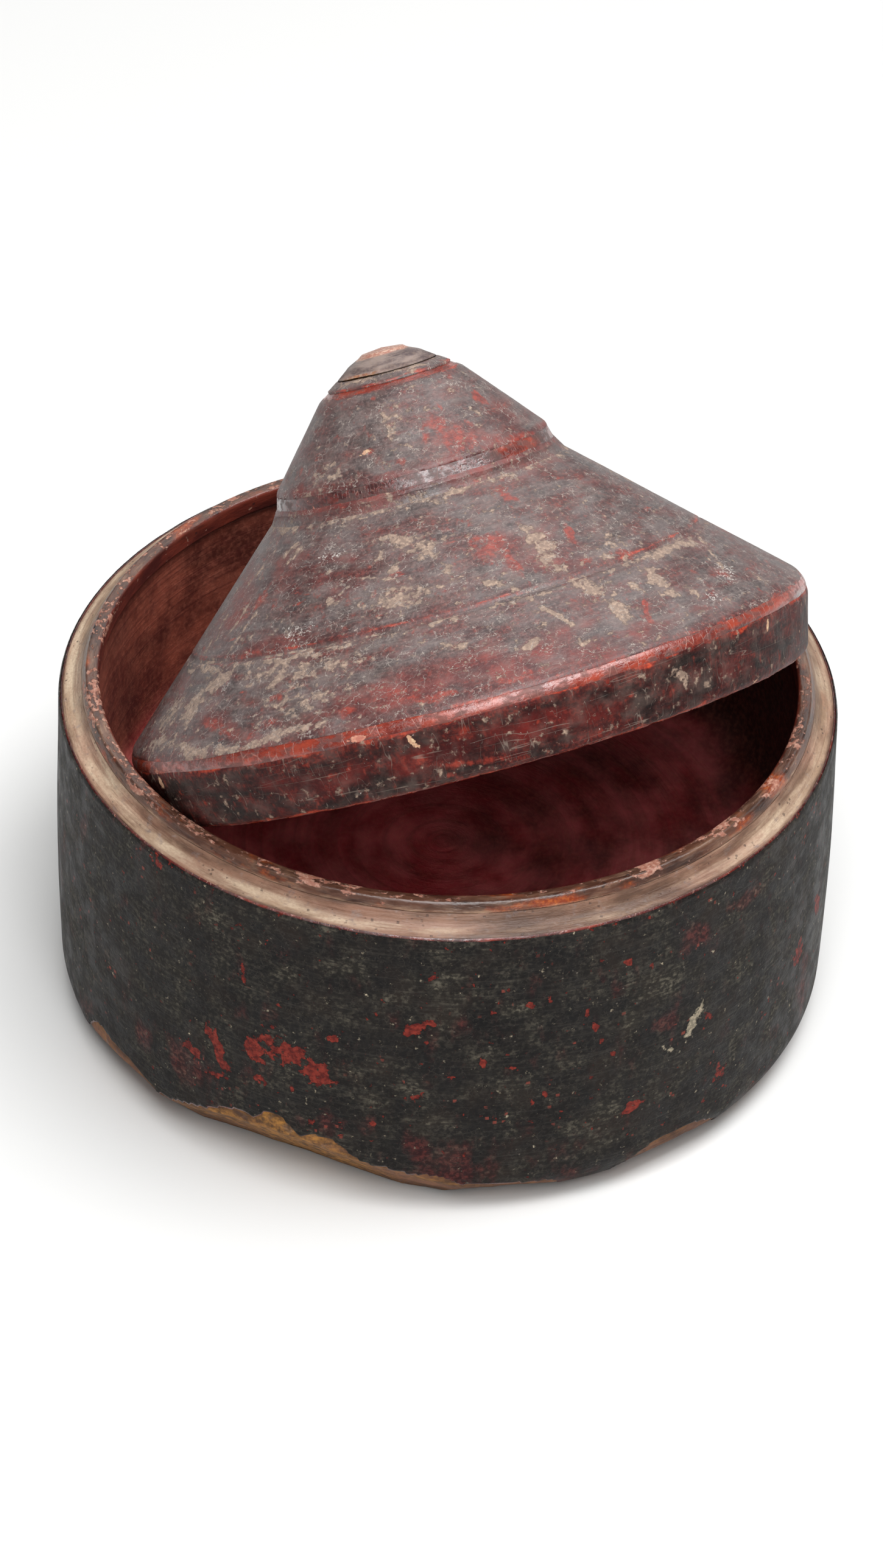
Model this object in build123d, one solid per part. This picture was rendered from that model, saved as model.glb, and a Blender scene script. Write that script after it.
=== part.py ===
"""A turned wooden box with lac coats and a loose conical lid, lying askew in the mouth.

Millimetres, +Z up. The origin is the centre of the foot's underside, where the box stands.
The front is -Y. The lid leans away to the back left, with its low edge on the box's floor.
A turned outline is a list of stations: radius, height and the rounding of that corner.
"""

from build123d import *
import os
from math import asin, cos, degrees, hypot, pi, radians, sin, sqrt, tan

# Box, outside
RIM_RADIUS = 100.0
RIM_HEIGHT = 90.0
BELLY_BULGE = 1.3
BELLY_RUN = 26.0
FOOT_TUCK = 0.6
FOOT_ROUND = 12.5
FOOT_HOLLOW_RADIUS = 72.0
FOOT_HOLLOW_DEPTH = 3.0

# Places where the foot's edge is broken away: direction round the box, slope of the break, depth
FOOT_CHIPS = [
    (246.0, 40.0, 6.2),
    (257.0, 38.0, 3.4),
    (234.0, 42.0, 3.0),
    (218.0, 40.0, 2.2),
    (279.0, 46.0, 0.7),
    (308.0, 42.0, 0.7),
]
CHIP_COAT_MARGIN = 0.4

# Box, rim: a worn sloping ledge, then an upstanding lip round the mouth
RIM_EDGE_ROUND = 1.2
LEDGE_WIDTH = 5.2
LEDGE_RISE = 2.2
COVE_ROUND = 2.0
LIP_HEIGHT = 6.4
LIP_LEAN = 2.0
LIP_WIDTH = 3.4
LIP_ROUND = 0.9

# Box, inside
LIP_DEPTH = 5.0
LIP_UNDERCUT = 1.2
INNER_DRAFT = 2.6
FLOOR_DEPTH = 49.2
FLOOR_ROUND = 16.0

# Lid, outside
LID_MOUTH_CLEARANCE = 4.1
LID_BAND_FLARE = 4.6
LID_BAND_HEIGHT = 18.0
LID_SHOULDER_ROUND = 4.7
LID_GROOVE_INSET = 22.4
LID_GROOVE_WIDTH = 1.8
LID_GROOVE_DEPTH = 0.7
LID_NECK_RADIUS = 37.7
LID_NECK_RISE = 48.6
LID_NECK_ROUND = 3.8
LID_RIDGE_STEP = 1.8
LID_RIDGE_RISE = 6.1
LID_RIDGE_ROUND = 3.1
LID_RING_RADIUS = 18.3
LID_RING_RISE = 20.7
LID_RING_ROUND = 1.2
TIP_RADIUS = 13.2
TIP_JOINT_RISE = 3.4

# Lid, inside
LID_WALL = 8.0

# Tip, a small turned knob with a tenon let into the cone
TIP_HEIGHT = 5.1
TIP_SHOULDER_INSET = 6.7
TIP_SHOULDER_RISE = 3.5
TIP_ROUND = 8.0
TIP_JOINT_GAP = 0.2
TENON_RADIUS = 7.0
TENON_LENGTH = 14.0
TENON_CLEARANCE = 0.1

# Lac coats, and where the dark one is worn through to the red one on the lid
RED_COAT = 0.5
DARK_COAT = 0.4
INSIDE_COAT = 0.5
LIP_COAT = 0.4
LIP_COAT_GAP = 1.4
RED_LINE = 0.9
FOOT_WEAR = 3.0
SHOULDER_WEAR = 5.0
RIDGE_WEAR = 4.0
RING_WEAR = 1.4

# How the lid lies: its low edge on the floor, its band against the lip on both sides
LID_CENTRE_DROP = 0.34
LID_LEAN_TOWARDS = 121.0
LID_REST_GAP = 0.3
LID_REST_SAMPLES = 720
LID_BAND_SAMPLES = 12

# Worked out from the sizes above
COATS = RED_COAT + DARK_COAT
LEDGE_TOP_RADIUS = RIM_RADIUS - LEDGE_WIDTH
LEDGE_TOP_HEIGHT = RIM_HEIGHT + LEDGE_RISE
LIP_TOP = RIM_HEIGHT + LIP_HEIGHT
LIP_BOTTOM = LIP_TOP - LIP_DEPTH
MOUTH_RADIUS = LEDGE_TOP_RADIUS - LIP_LEAN - LIP_WIDTH
INNER_RADIUS = MOUTH_RADIUS + LIP_UNDERCUT
INNER_TOP = LIP_BOTTOM - LIP_UNDERCUT
FLOOR_RADIUS = INNER_RADIUS - INNER_DRAFT
FLOOR_HEIGHT = RIM_HEIGHT - FLOOR_DEPTH
LID_EDGE_RADIUS = MOUTH_RADIUS - LID_MOUTH_CLEARANCE
LID_SHOULDER_RADIUS = LID_EDGE_RADIUS + LID_BAND_FLARE
LID_NECK_HEIGHT = LID_BAND_HEIGHT + LID_NECK_RISE
LID_CONE_SLOPE = LID_NECK_RISE / (LID_SHOULDER_RADIUS - LID_NECK_RADIUS)
LID_GROOVE_RADIUS = LID_SHOULDER_RADIUS - LID_GROOVE_INSET
LID_GROOVE_HEIGHT = LID_BAND_HEIGHT + LID_GROOVE_INSET * LID_CONE_SLOPE
LID_RIDGE_HEIGHT = LID_NECK_HEIGHT + LID_RIDGE_RISE
LID_RING_HEIGHT = LID_RIDGE_HEIGHT + LID_RING_RISE
TIP_JOINT_HEIGHT = LID_RING_HEIGHT + TIP_JOINT_RISE

LIP_OUTLINE = [
    (LEDGE_TOP_RADIUS, LEDGE_TOP_HEIGHT, 0),
    (LEDGE_TOP_RADIUS - LIP_LEAN, LIP_TOP, LIP_ROUND),
    (MOUTH_RADIUS, LIP_TOP, LIP_ROUND),
    (MOUTH_RADIUS, LIP_BOTTOM, 0),
]

LID_CONE = [
    (LID_EDGE_RADIUS, 0, 0),
    (LID_SHOULDER_RADIUS, LID_BAND_HEIGHT, LID_SHOULDER_ROUND),
    (LID_NECK_RADIUS, LID_NECK_HEIGHT, 0),
]

LID_OUTLINE = LID_CONE[:-1] + [
    (LID_NECK_RADIUS, LID_NECK_HEIGHT, LID_NECK_ROUND),
    (LID_NECK_RADIUS - LID_RIDGE_STEP, LID_RIDGE_HEIGHT, LID_RIDGE_ROUND),
    (LID_RING_RADIUS, LID_RING_HEIGHT, LID_RING_ROUND),
    (TIP_RADIUS, TIP_JOINT_HEIGHT, 0),
]


def turned(stations):
    """The solid that a closed outline sweeps round the Z axis."""
    points = [(radius, height) for radius, height, _ in stations]
    rounds = [corner for _, _, corner in stations]
    outline = FilletPolyline(*points, radius=rounds, close=True)
    return revolve(Plane.XZ * make_face(outline), Axis.Z)


def normal(start, end):
    """The outward direction of the line from one station to the next."""
    across, up = end[0] - start[0], end[1] - start[1]
    length = hypot(across, up)
    return up / length, -across / length


def parallel(stations, depth):
    """The same open outline, depth further in. It runs anticlockwise and its ends keep their height."""
    moved = []
    for k, (radius, height, corner) in enumerate(stations):
        before = normal(stations[max(k, 1) - 1], stations[max(k, 1)])
        last = len(stations) - 2
        after = normal(stations[min(k, last)], stations[min(k, last) + 1])
        if before == after:
            moved.append((radius - depth / before[0], height, 0))
            continue
        share = depth / (1 + before[0] * after[0] + before[1] * after[1])
        convex = before[0] * after[1] > before[1] * after[0]
        moved.append((
            radius - share * (before[0] + after[0]),
            height - share * (before[1] + after[1]),
            max(corner - depth, 0) if convex else corner + depth,
        ))
    return moved


def layer(stations, outer, inner):
    """What lies between two depths below an open outline."""
    return turned(parallel(stations, outer) + parallel(stations, inner)[::-1])


def slab(low, high):
    """A wide flat disc, for cutting between two heights."""
    reach = 2 * RIM_RADIUS
    return turned([(0, low, 0), (reach, low, 0), (reach, high, 0), (0, high, 0)])


def box_side(depth):
    """Stations of the box's side, moved in by depth: foot, belly and rim."""
    foot = (RIM_RADIUS - FOOT_TUCK - depth, 0, FOOT_ROUND - depth)
    belly = (RIM_RADIUS + BELLY_BULGE - depth, RIM_HEIGHT / 2)
    rim = (RIM_RADIUS - depth, RIM_HEIGHT, 0)
    below, above = normal(foot, belly), normal(belly, rim)
    turn = asin(below[0] * above[1] - below[1] * above[0])
    return [foot, (*belly, BELLY_RUN / tan(turn / 2)), rim]


def foot_breaks(margin):
    """Blocks that take the foot's broken edge away, each cut deeper by the margin."""
    foot, _, _ = box_side(0)
    round_radius = foot[0] - foot[2]
    blocks = []
    for turn, slope, bite in FOOT_CHIPS:
        tip = round_radius * cos(radians(slope)) - foot[2] * sin(radians(slope)) + foot[2]
        out = tip - bite - margin + RIM_RADIUS / 2
        along = round_radius * sin(radians(slope))
        block = Pos(out, 0, along) * Box(RIM_RADIUS, RIM_RADIUS, RIM_RADIUS)
        blocks.append(Rot(Z=turn) * Rot(Y=slope) * block)
    return blocks


def box_wood():
    """The turned bowl: hollowed foot, wall, ledge, lip and floor, its foot chipped."""
    foot, belly, rim = box_side(COATS)
    lip = parallel(LIP_OUTLINE, LIP_COAT)
    lip[0] = (lip[0][0], lip[0][1], COVE_ROUND)
    bowl = turned([
        (0, FOOT_HOLLOW_DEPTH, 0),
        (FOOT_HOLLOW_RADIUS - FOOT_HOLLOW_DEPTH, FOOT_HOLLOW_DEPTH, 0),
        (FOOT_HOLLOW_RADIUS, 0, 0),
        foot,
        belly,
        (rim[0], rim[1], RIM_EDGE_ROUND),
        *lip,
        (INNER_RADIUS + INSIDE_COAT, INNER_TOP, 0),
        (FLOOR_RADIUS + INSIDE_COAT, FLOOR_HEIGHT - INSIDE_COAT, FLOOR_ROUND + INSIDE_COAT),
        (0, FLOOR_HEIGHT - INSIDE_COAT, 0),
    ])
    return bowl - foot_breaks(0)


def box_side_coat(outer, inner, top):
    """One lac coat on the box's side, from above the worn foot to its own top edge."""
    block = turned([(0, 0, 0), *box_side(outer), (0, RIM_HEIGHT, 0)])
    block -= turned([(0, 0, 0), *box_side(inner), (0, RIM_HEIGHT, 0)])
    block &= slab(FOOT_WEAR, top)
    return block - foot_breaks(CHIP_COAT_MARGIN + COATS - inner)


def box_inside_coat():
    """Red lac on the inner wall and the floor."""
    return turned([
        (0, FLOOR_HEIGHT - INSIDE_COAT, 0),
        (FLOOR_RADIUS + INSIDE_COAT, FLOOR_HEIGHT - INSIDE_COAT, FLOOR_ROUND + INSIDE_COAT),
        (INNER_RADIUS + INSIDE_COAT, INNER_TOP, 0),
        (INNER_RADIUS, INNER_TOP, 0),
        (FLOOR_RADIUS, FLOOR_HEIGHT, FLOOR_ROUND),
        (0, FLOOR_HEIGHT, 0),
    ])


def lip_coat():
    """Brown lac over the lip, ending a little above the bare ledge."""
    whole = layer(LIP_OUTLINE, 0, LIP_COAT)
    return whole & slab(LIP_BOTTOM, LIP_TOP) - slab(LIP_BOTTOM, LEDGE_TOP_HEIGHT + LIP_COAT_GAP)


def lid_hollow():
    """Stations of the wooden lid's inner surface, from its edge up to its ceiling."""
    return parallel(LID_CONE, COATS + LID_WALL)


def lid_wood():
    """The turned cone: rim band, neck, ridge and the hole for the tip's tenon."""
    hole = TENON_RADIUS + TENON_CLEARANCE
    hole_floor = TIP_JOINT_HEIGHT - TENON_LENGTH - TENON_CLEARANCE
    return turned([
        *parallel(LID_OUTLINE, COATS),
        (hole, TIP_JOINT_HEIGHT, 0),
        (hole, hole_floor, 0),
        (0, hole_floor, 0),
        (0, LID_NECK_HEIGHT, 0),
        *lid_hollow()[::-1],
    ])


def lid_groove():
    """The incised line round the cone, a V cut square to its slope."""
    out = normal(LID_CONE[1], LID_CONE[2])
    half = LID_GROOVE_WIDTH / 2
    up = (-out[1], out[0])
    foot = (LID_GROOVE_RADIUS - LID_GROOVE_DEPTH * out[0], LID_GROOVE_HEIGHT - LID_GROOVE_DEPTH * out[1])
    high = (LID_GROOVE_RADIUS + half * (up[0] + out[0]), LID_GROOVE_HEIGHT + half * (up[1] + out[1]))
    low = (LID_GROOVE_RADIUS - half * (up[0] - out[0]), LID_GROOVE_HEIGHT - half * (up[1] - out[1]))
    return turned([(*foot, 0), (*low, 0), (*high, 0)])


def lid_red_coat():
    """The red ground coat over the whole cone."""
    return layer(LID_OUTLINE, DARK_COAT, COATS) - lid_groove()


def lid_dark_coat():
    """The dark top coat, worn through along the shoulder, the ridge and the ring."""
    coat = layer(LID_OUTLINE, 0, DARK_COAT) - lid_groove()
    coat -= slab(LID_BAND_HEIGHT - SHOULDER_WEAR / 2, LID_BAND_HEIGHT + SHOULDER_WEAR / 2)
    coat -= slab(LID_RIDGE_HEIGHT - RIDGE_WEAR, LID_RIDGE_HEIGHT)
    coat -= slab(LID_RING_HEIGHT - RING_WEAR / 2, LID_RING_HEIGHT + RING_WEAR / 2)
    return coat


def lid_inside_coat():
    """Red lac on the inside of the cone and on its ceiling."""
    low = LID_NECK_HEIGHT - INSIDE_COAT
    face = parallel(LID_CONE, COATS + LID_WALL + INSIDE_COAT)
    return turned([
        *lid_hollow(),
        (0, LID_NECK_HEIGHT, 0),
        (0, low, 0),
        (face[-1][0], low, 0),
        *face[-2::-1],
    ])


def lid_tip():
    """The knob on top of the cone, a hair's breadth above it, and its tenon."""
    seat = TIP_JOINT_HEIGHT + TIP_JOINT_GAP
    crown = seat + TIP_HEIGHT
    return turned([
        (0, TIP_JOINT_HEIGHT - TENON_LENGTH, 0),
        (TENON_RADIUS, TIP_JOINT_HEIGHT - TENON_LENGTH, 0),
        (TENON_RADIUS, seat, 0),
        (TIP_RADIUS, seat, 0),
        (TIP_RADIUS - TIP_SHOULDER_INSET, seat + TIP_SHOULDER_RISE, TIP_ROUND),
        (0, crown, 0),
    ])


def plug_outline():
    """Points up the lid's band and on to where its shoulder is widest."""
    edge, shoulder, neck = LID_CONE
    below, above = normal(edge, shoulder), normal(shoulder, neck)
    turn = asin(below[0] * above[1] - below[1] * above[0])
    straight = 1 - LID_SHOULDER_ROUND * tan(turn / 2) / hypot(LID_BAND_FLARE, LID_BAND_HEIGHT)
    points = []
    for step in range(LID_BAND_SAMPLES + 1):
        share = straight * step / LID_BAND_SAMPLES
        points.append((LID_EDGE_RADIUS + LID_BAND_FLARE * share, LID_BAND_HEIGHT * share))
    radius, rise = points[-1]
    points.append((radius + LID_SHOULDER_ROUND * (1 - below[0]), rise - LID_SHOULDER_ROUND * below[1]))
    return points


def lid_place():
    """Where the lid lies: on the floor at its low edge, and slid back until it clears the lip."""
    height = RIM_HEIGHT - LID_CENTRE_DROP
    tilt = asin((height - FLOOR_HEIGHT - LID_REST_GAP) / LID_EDGE_RADIUS)
    room = MOUTH_RADIUS - LID_REST_GAP
    plug = plug_outline()
    slides = []
    for k in range(LID_REST_SAMPLES):
        turn = pi * k / LID_REST_SAMPLES
        for radius, rise in plug:
            level = height + rise * cos(tilt) - radius * cos(turn) * sin(tilt)
            along = rise * sin(tilt) + radius * cos(turn) * cos(tilt)
            if level < LIP_TOP + LID_REST_GAP:
                slides.append(-along - sqrt(room**2 - (radius * sin(turn)) ** 2))
    slide = max(slides)
    lean = radians(LID_LEAN_TOWARDS)
    spot = (slide * cos(lean), slide * sin(lean), height)
    return Pos(*spot) * Rot(Z=LID_LEAN_TOWARDS) * Rot(Y=degrees(tilt))


def main():
    os.makedirs("parts", exist_ok=True)
    box = {
        "box_wood": box_wood(),
        "box_red_coat": box_side_coat(DARK_COAT, COATS, RIM_HEIGHT),
        "box_dark_coat": box_side_coat(0, DARK_COAT, RIM_HEIGHT - RED_LINE),
        "box_inside_coat": box_inside_coat(),
        "lip_coat": lip_coat(),
    }
    place = lid_place()
    lid = {
        "lid_wood": lid_wood(),
        "lid_red_coat": lid_red_coat(),
        "lid_dark_coat": lid_dark_coat(),
        "lid_inside_coat": lid_inside_coat(),
        "lid_tip": lid_tip(),
    }
    for name, shape in box.items():
        export_step(shape, f"parts/{name}.step")
    for name, shape in lid.items():
        export_step(place * shape, f"parts/{name}.step")
    print("lid placed at", [round(value, 2) for value in place.position])


main()
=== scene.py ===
# %% [markdown]
# # A turned lacquer box with its lid lying askew
#
# The object is an old round box, turned from wood on a lathe and coated by hand with lac, a resin
# that is melted on in thin coats: red first, then dark. Its loose conical lid leans in the mouth.
# The build below loads the measured model as a fixed frame, then makes each piece again as a fine
# turned mesh with small dents, chips and ragged coat edges, and gives it a layered material.

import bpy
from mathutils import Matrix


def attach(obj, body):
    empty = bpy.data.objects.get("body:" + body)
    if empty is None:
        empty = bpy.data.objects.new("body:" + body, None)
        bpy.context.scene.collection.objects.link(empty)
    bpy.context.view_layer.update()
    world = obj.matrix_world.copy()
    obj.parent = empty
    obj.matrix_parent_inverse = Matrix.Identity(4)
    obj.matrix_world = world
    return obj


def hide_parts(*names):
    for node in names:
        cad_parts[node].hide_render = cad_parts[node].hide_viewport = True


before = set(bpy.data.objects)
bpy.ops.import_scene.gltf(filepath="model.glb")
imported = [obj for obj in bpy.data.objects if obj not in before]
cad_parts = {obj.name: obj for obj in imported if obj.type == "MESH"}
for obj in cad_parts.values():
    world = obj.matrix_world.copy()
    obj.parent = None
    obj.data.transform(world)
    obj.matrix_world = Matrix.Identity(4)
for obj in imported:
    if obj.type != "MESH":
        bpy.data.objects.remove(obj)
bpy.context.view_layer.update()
print("nodes:", sorted(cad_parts))

# %% [markdown]
# Blender works in metres and this box is easier to think of in millimetres, so every size below is
# in millimetres and is turned to metres in one place, when a mesh is made.

# %% Units and libraries
from math import asin, atan2, cos, hypot, radians, sin, tan

import bpy
import numpy as np
from mathutils import Matrix, Vector

MM = 0.001

# %% [markdown]
# Hand work is never quite even. A smooth random height is needed everywhere: for dents, for ragged
# edges and for wear. Blender's noise texture can't move the edge of a coat, so this makes the
# same kind of noise with numpy: random heights on a cubic lattice, blended smoothly between its
# corners, in a few layers that each halve in width and height.

# %% Smooth random heights
def lattice_height(cell, seed):
    x, y, z = cell[..., 0], cell[..., 1], cell[..., 2]
    mixed = (x * 73856093) ^ (y * 19349663) ^ (z * 83492791) ^ (seed * 97531)
    mixed = ((mixed ^ (mixed >> 13)) * 1274126177) & 0xFFFFFFFF
    return ((mixed ^ (mixed >> 16)) & 0xFFFF) / 32767.5 - 1


def unevenness(points, width, seed=0, layers=3):
    """A smooth random height, about -1 to 1, at points in millimetres. Its widest bumps are width apart."""
    total, weight, share = 0.0, 1.0, 0.0
    for layer in range(layers):
        place = points / width * 2**layer + 31.7 * (layer + 1)
        cell = np.floor(place).astype(np.int64)
        blend = place - cell
        blend = blend * blend * (3 - 2 * blend)
        value = 0.0
        for corner in np.ndindex(2, 2, 2):
            nearness = np.prod(np.where(corner, blend, 1 - blend), axis=-1)
            value = value + nearness * lattice_height(cell + corner, seed + layer)
        total, share, weight = total + weight * value, share + weight, weight / 2
    return total / share


three_points = np.array([[1.0, 2, 3], [40, 5, 6], [7, 80, 9]])
print("random heights at three points:", unevenness(three_points, 20).round(2))

# %% [markdown]
# A lathe turns one outline into a whole piece. The outlines are the ones of the measured model:
# corners with a radius, a height and a rounding. This draws the rounding as a true arc and then
# spaces the points evenly, so that the mesh is equally fine everywhere.

# %% From corners to a smooth outline
def outline(corners, spacing):
    """Evenly spaced (radius, height) points along corners of (radius, height, rounding)."""
    points = [corners[0][:2]]
    for before, here, after in zip(corners, corners[1:], corners[2:]):
        rounding = here[2]
        come = np.array(here[:2]) - before[:2]
        go = np.array(after[:2]) - here[:2]
        come, go = come / hypot(*come), go / hypot(*go)
        turn = atan2(come[0] * go[1] - come[1] * go[0], come @ go)
        if rounding == 0 or turn == 0:
            points.append(here[:2])
            continue
        side = 1 if turn > 0 else -1
        start = np.array(here[:2]) - come * rounding * tan(abs(turn) / 2)
        inward = side * np.array([-come[1], come[0]])
        for angle in np.linspace(0, turn, 3 + int(rounding * abs(turn) / 0.4)):
            spin = np.array([[cos(angle), -sin(angle)], [sin(angle), cos(angle)]])
            points.append(tuple(start + rounding * inward - rounding * spin @ inward))
    points.append(corners[-1][:2])
    points = np.array(points, float)
    length = np.r_[0, np.cumsum(np.hypot(*np.diff(points, axis=0).T))]
    even = np.linspace(0, length[-1], max(2, int(length[-1] / spacing) + 1))
    return np.column_stack([np.interp(even, length, points[:, k]) for k in (0, 1)])


# %% [markdown]
# One function makes every mesh. Blender's Screw modifier could turn the outline too, but it leaves
# every ring a perfect circle. A grid of numbers can be dented and chipped first: it holds a radius
# and a height for each direction round the axis and each point of the outline, and neighbours are
# joined with four-sided faces. The grid may close on itself, as round a thin coat, or end on the
# axis at both ends, as on a solid. Each point also keeps where it is on the lathe: x, y and the
# distance along the outline, in millimetres. The materials measure their patterns with that, so the
# same patterns fit a wall, a cone and a floor, and move with the lid. Straight cracks need a flat
# pattern, so each point also keeps its way round a circle about as wide as the box.

# %% From a grid to a mesh
ROUND = 1080
FLAT_RADIUS = 90


def directions(count=ROUND):
    return np.arange(count) * 2 * np.pi / count


def swept(name, radius, height, along, wear, closed):
    """A mesh from grids of radius, height and distance along the outline, all in millimetres."""
    around, rows = radius.shape
    angle = directions(around)[:, None]
    x, y = radius * np.cos(angle), radius * np.sin(angle)
    points = np.stack([x, y, height], -1).reshape(-1, 3)
    here = np.arange(around * rows).reshape(around, rows)
    following = np.roll(here, -1, axis=0)
    steps = rows if closed else rows - 1
    up = [(k + 1) % rows for k in range(steps)]
    faces = np.stack([here[:, :steps], following[:, :steps], following[:, up], here[:, up]], -1)
    mesh = bpy.data.meshes.new(name)
    mesh.from_pydata((points * MM).tolist(), [], faces.reshape(-1, 4).tolist())
    lathe = mesh.attributes.new("turning", "FLOAT_VECTOR", "POINT")
    lathe.data.foreach_set("vector", np.stack([x, y, along], -1).astype(np.float32).ravel())
    wear = {"around": FLAT_RADIUS * angle, **wear}
    for field, values in wear.items():
        kept = mesh.attributes.new(field, "FLOAT", "POINT")
        kept.data.foreach_set("value", np.broadcast_to(values, radius.shape).astype(np.float32).ravel())
    mesh.shade_smooth()
    piece = bpy.data.objects.new(name, mesh)
    bpy.context.scene.collection.objects.link(piece)
    print(f"{name}: {len(points)} points")
    return piece


# %% [markdown]
# The box's lid lies where the measured model has it: low edge on the floor, leaning to the back
# left. Its own lathe axis is tilted by this much, so its pieces are made upright and then placed.
# The tilt goes into the points of the mesh and not into the object's own rotation, which is left
# free for the lid to be lifted.

# %% Where the lid lies
LID_SPOT = Vector((9.50, -15.81, 89.66)) * MM
LID_LEAN_TOWARDS = radians(121)
LID_TILT = asin(48.56 / 85.3)
LID_LEAN = Matrix.Rotation(LID_LEAN_TOWARDS, 4, "Z") @ Matrix.Rotation(LID_TILT, 4, "Y")
LID_PLACE = Matrix.Translation(LID_SPOT) @ LID_LEAN


def settle(piece, body, slot, material, *nodes):
    """Places a piece, gives it its finish, and lets it stand for its nodes in the measured model."""
    if body == "lid":
        piece.data.transform(LID_PLACE)
    piece.data.materials.append(material)
    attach(piece, body)
    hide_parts(*nodes)


print("lid tilt in degrees:", round(LID_TILT * 180 / np.pi, 2))

# %% [markdown]
# Wear is in places, not everywhere. A list of worn places gives each one's direction round the axis
# in degrees, its height, its half length and half width in millimetres, the angle at which it lies,
# and how strong it is. It could be painted on by hand, but a list can be read, set against the real
# piece and changed. The result is a field with a flat middle; the material breaks its edge up with
# fine noise. On a slope a step in height is longer along the surface, so steep says how much.

# %% Directions and worn places
def points_at(angle, radius, height):
    return np.stack(np.broadcast_arrays(radius * np.cos(angle), radius * np.sin(angle), height), -1)


def turned_from(angle, direction):
    """How far round the axis an angle lies from a direction given in degrees, half a turn at most."""
    return (angle - radians(direction) + np.pi) % (2 * np.pi) - np.pi


def near(value, level, reach):
    """1 where a radius or a height is at a level, fading to 0 a little beyond its reach."""
    return np.exp(-(((value - level) / reach) ** 2))


def towards(angle, direction, spread):
    """1 in one direction round the axis, fading to 0 a little beyond a spread in degrees."""
    return near(turned_from(angle, direction), 0, radians(spread))


def worn(angle, height, radius, places, steep=1.0):
    """How worn each point is, from (direction, height, half length, half width, lean, strength)."""
    field = 0.0
    for direction, level, long, wide, lean, strength in places:
        across, up = turned_from(angle, direction) * radius, (height - level) * steep
        along = (across * cos(radians(lean)) + up * sin(radians(lean))) / long
        beside = (up * cos(radians(lean)) - across * sin(radians(lean))) / wide
        field = np.maximum(field, strength * np.exp(-((along**2 + beside**2) ** 1.5)))
    return field


def wandering(angle, height, radius, seed):
    """The same directions and heights moved by about a millimetre, so that no worn place is an oval."""
    here, most, width = points_at(angle, radius, height), 1.3, 6
    around, up = unevenness(here, width, seed), unevenness(here, width, seed + 3)
    return angle + most * around / radius, height + most * up


# %% [markdown]
# ## The materials
#
# Every material is layered the same way: a base, then what shows through it or lies on it, each
# with its own mask. One function adds a node with its settings and links. Colours are written as
# sRGB hex, as a colour picker gives them, and turned to the linear values that the shader needs.

# %% Nodes and colours
def colour(text):
    """Linear colour, with alpha, from a hex sRGB string."""
    parts = [int(text[k:k + 2], 16) / 255 for k in (1, 3, 5)]
    return tuple(p / 12.92 if p <= 0.04045 else ((p + 0.055) / 1.055) ** 2.4 for p in parts) + (1.0,)


def node(material, kind, sockets=None, **settings):
    """Adds one node. A socket's value is a number, a hex colour, or another node's output."""
    added = material.node_tree.nodes.new(kind)
    for setting, value in settings.items():
        setattr(added, setting, value)
    for socket, value in (sockets or {}).items():
        if isinstance(value, bpy.types.NodeSocket):
            material.node_tree.links.new(value, added.inputs[socket])
        else:
            added.inputs[socket].default_value = colour(value) if isinstance(value, str) else value
    return added


def new_material(name):
    material = bpy.data.materials.new(name)
    material.use_nodes = True
    material.node_tree.nodes.clear()
    return material


print("the red of the lac, linear:", [round(part, 3) for part in colour("#96331b")])

# %% [markdown]
# A material is then built as the real surface was: a colour laid over another where a mask says,
# a roughness that changes where dirt or chips lie, and bumps whose height is a real one in
# millimetres. The last step is one shader that joins them. Real lac films are clear and thin, and
# could be stacked as glass would be, but one surface with layered colours looks the same from here
# and renders far sooner.

# %% Layers, relief and the shader
def over(material, below, above, where, strength=1.0):
    """The colour above laid on the colour below where the mask is."""
    if strength != 1.0:
        where = node(material, "ShaderNodeMath", {0: where, 1: strength}, operation="MULTIPLY").outputs[0]
    return node(material, "ShaderNodeMix", {0: where, 6: below, 7: above}, data_type="RGBA").outputs[2]


def roughness(material, clean, *layers):
    """The roughness of the clean surface, changed by layers of (roughness, mask)."""
    for rough, where in layers:
        clean = node(material, "ShaderNodeMix", {0: where, 2: clean, 3: rough}, data_type="FLOAT").outputs[0]
    return clean


def relief(material, *layers):
    """Bumps added up, from (mask, height in millimetres); a negative height is a hollow."""
    bump = None
    for where, height in layers:
        sockets = {"Height": where, "Strength": 1.0, "Distance": abs(height) * MM}
        if bump is not None:
            sockets["Normal"] = bump
        bump = node(material, "ShaderNodeBump", sockets, invert=height < 0).outputs[0]
    return bump


def finish(material, base, rough, bump, ior=1.5, clear=0.0, gloss=0.5):
    """The shader. A gloss of 0.5 is a plain film: pores lower it, rubbing raises it. clear lies on top."""
    shader = node(material, "ShaderNodeBsdfPrincipled", {
        "Base Color": base, "Roughness": rough, "Normal": bump, "IOR": ior, "Coat Weight": clear,
        "Specular IOR Level": gloss, "Coat Roughness": 0.25,
    })
    node(material, "ShaderNodeOutputMaterial", {"Surface": shader.outputs[0]})
    print(material.name, "has", len(material.node_tree.nodes), "nodes")
    return material


# %% [markdown]
# Patterns. All are measured on the lathe's own lengths, in millimetres, so a grain of 1.6 is 1.6 mm
# wide on the real box. Pictures laid on an unwrapped mesh could carry them, but these have no seam
# and stay sharp at any size. The stretch makes a pattern longer round the axis (first two numbers
# below 1) or longer up the outline (last number below 1). A seed moves a pattern to a part of the
# noise that is its own, so that no two masks agree.

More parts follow.
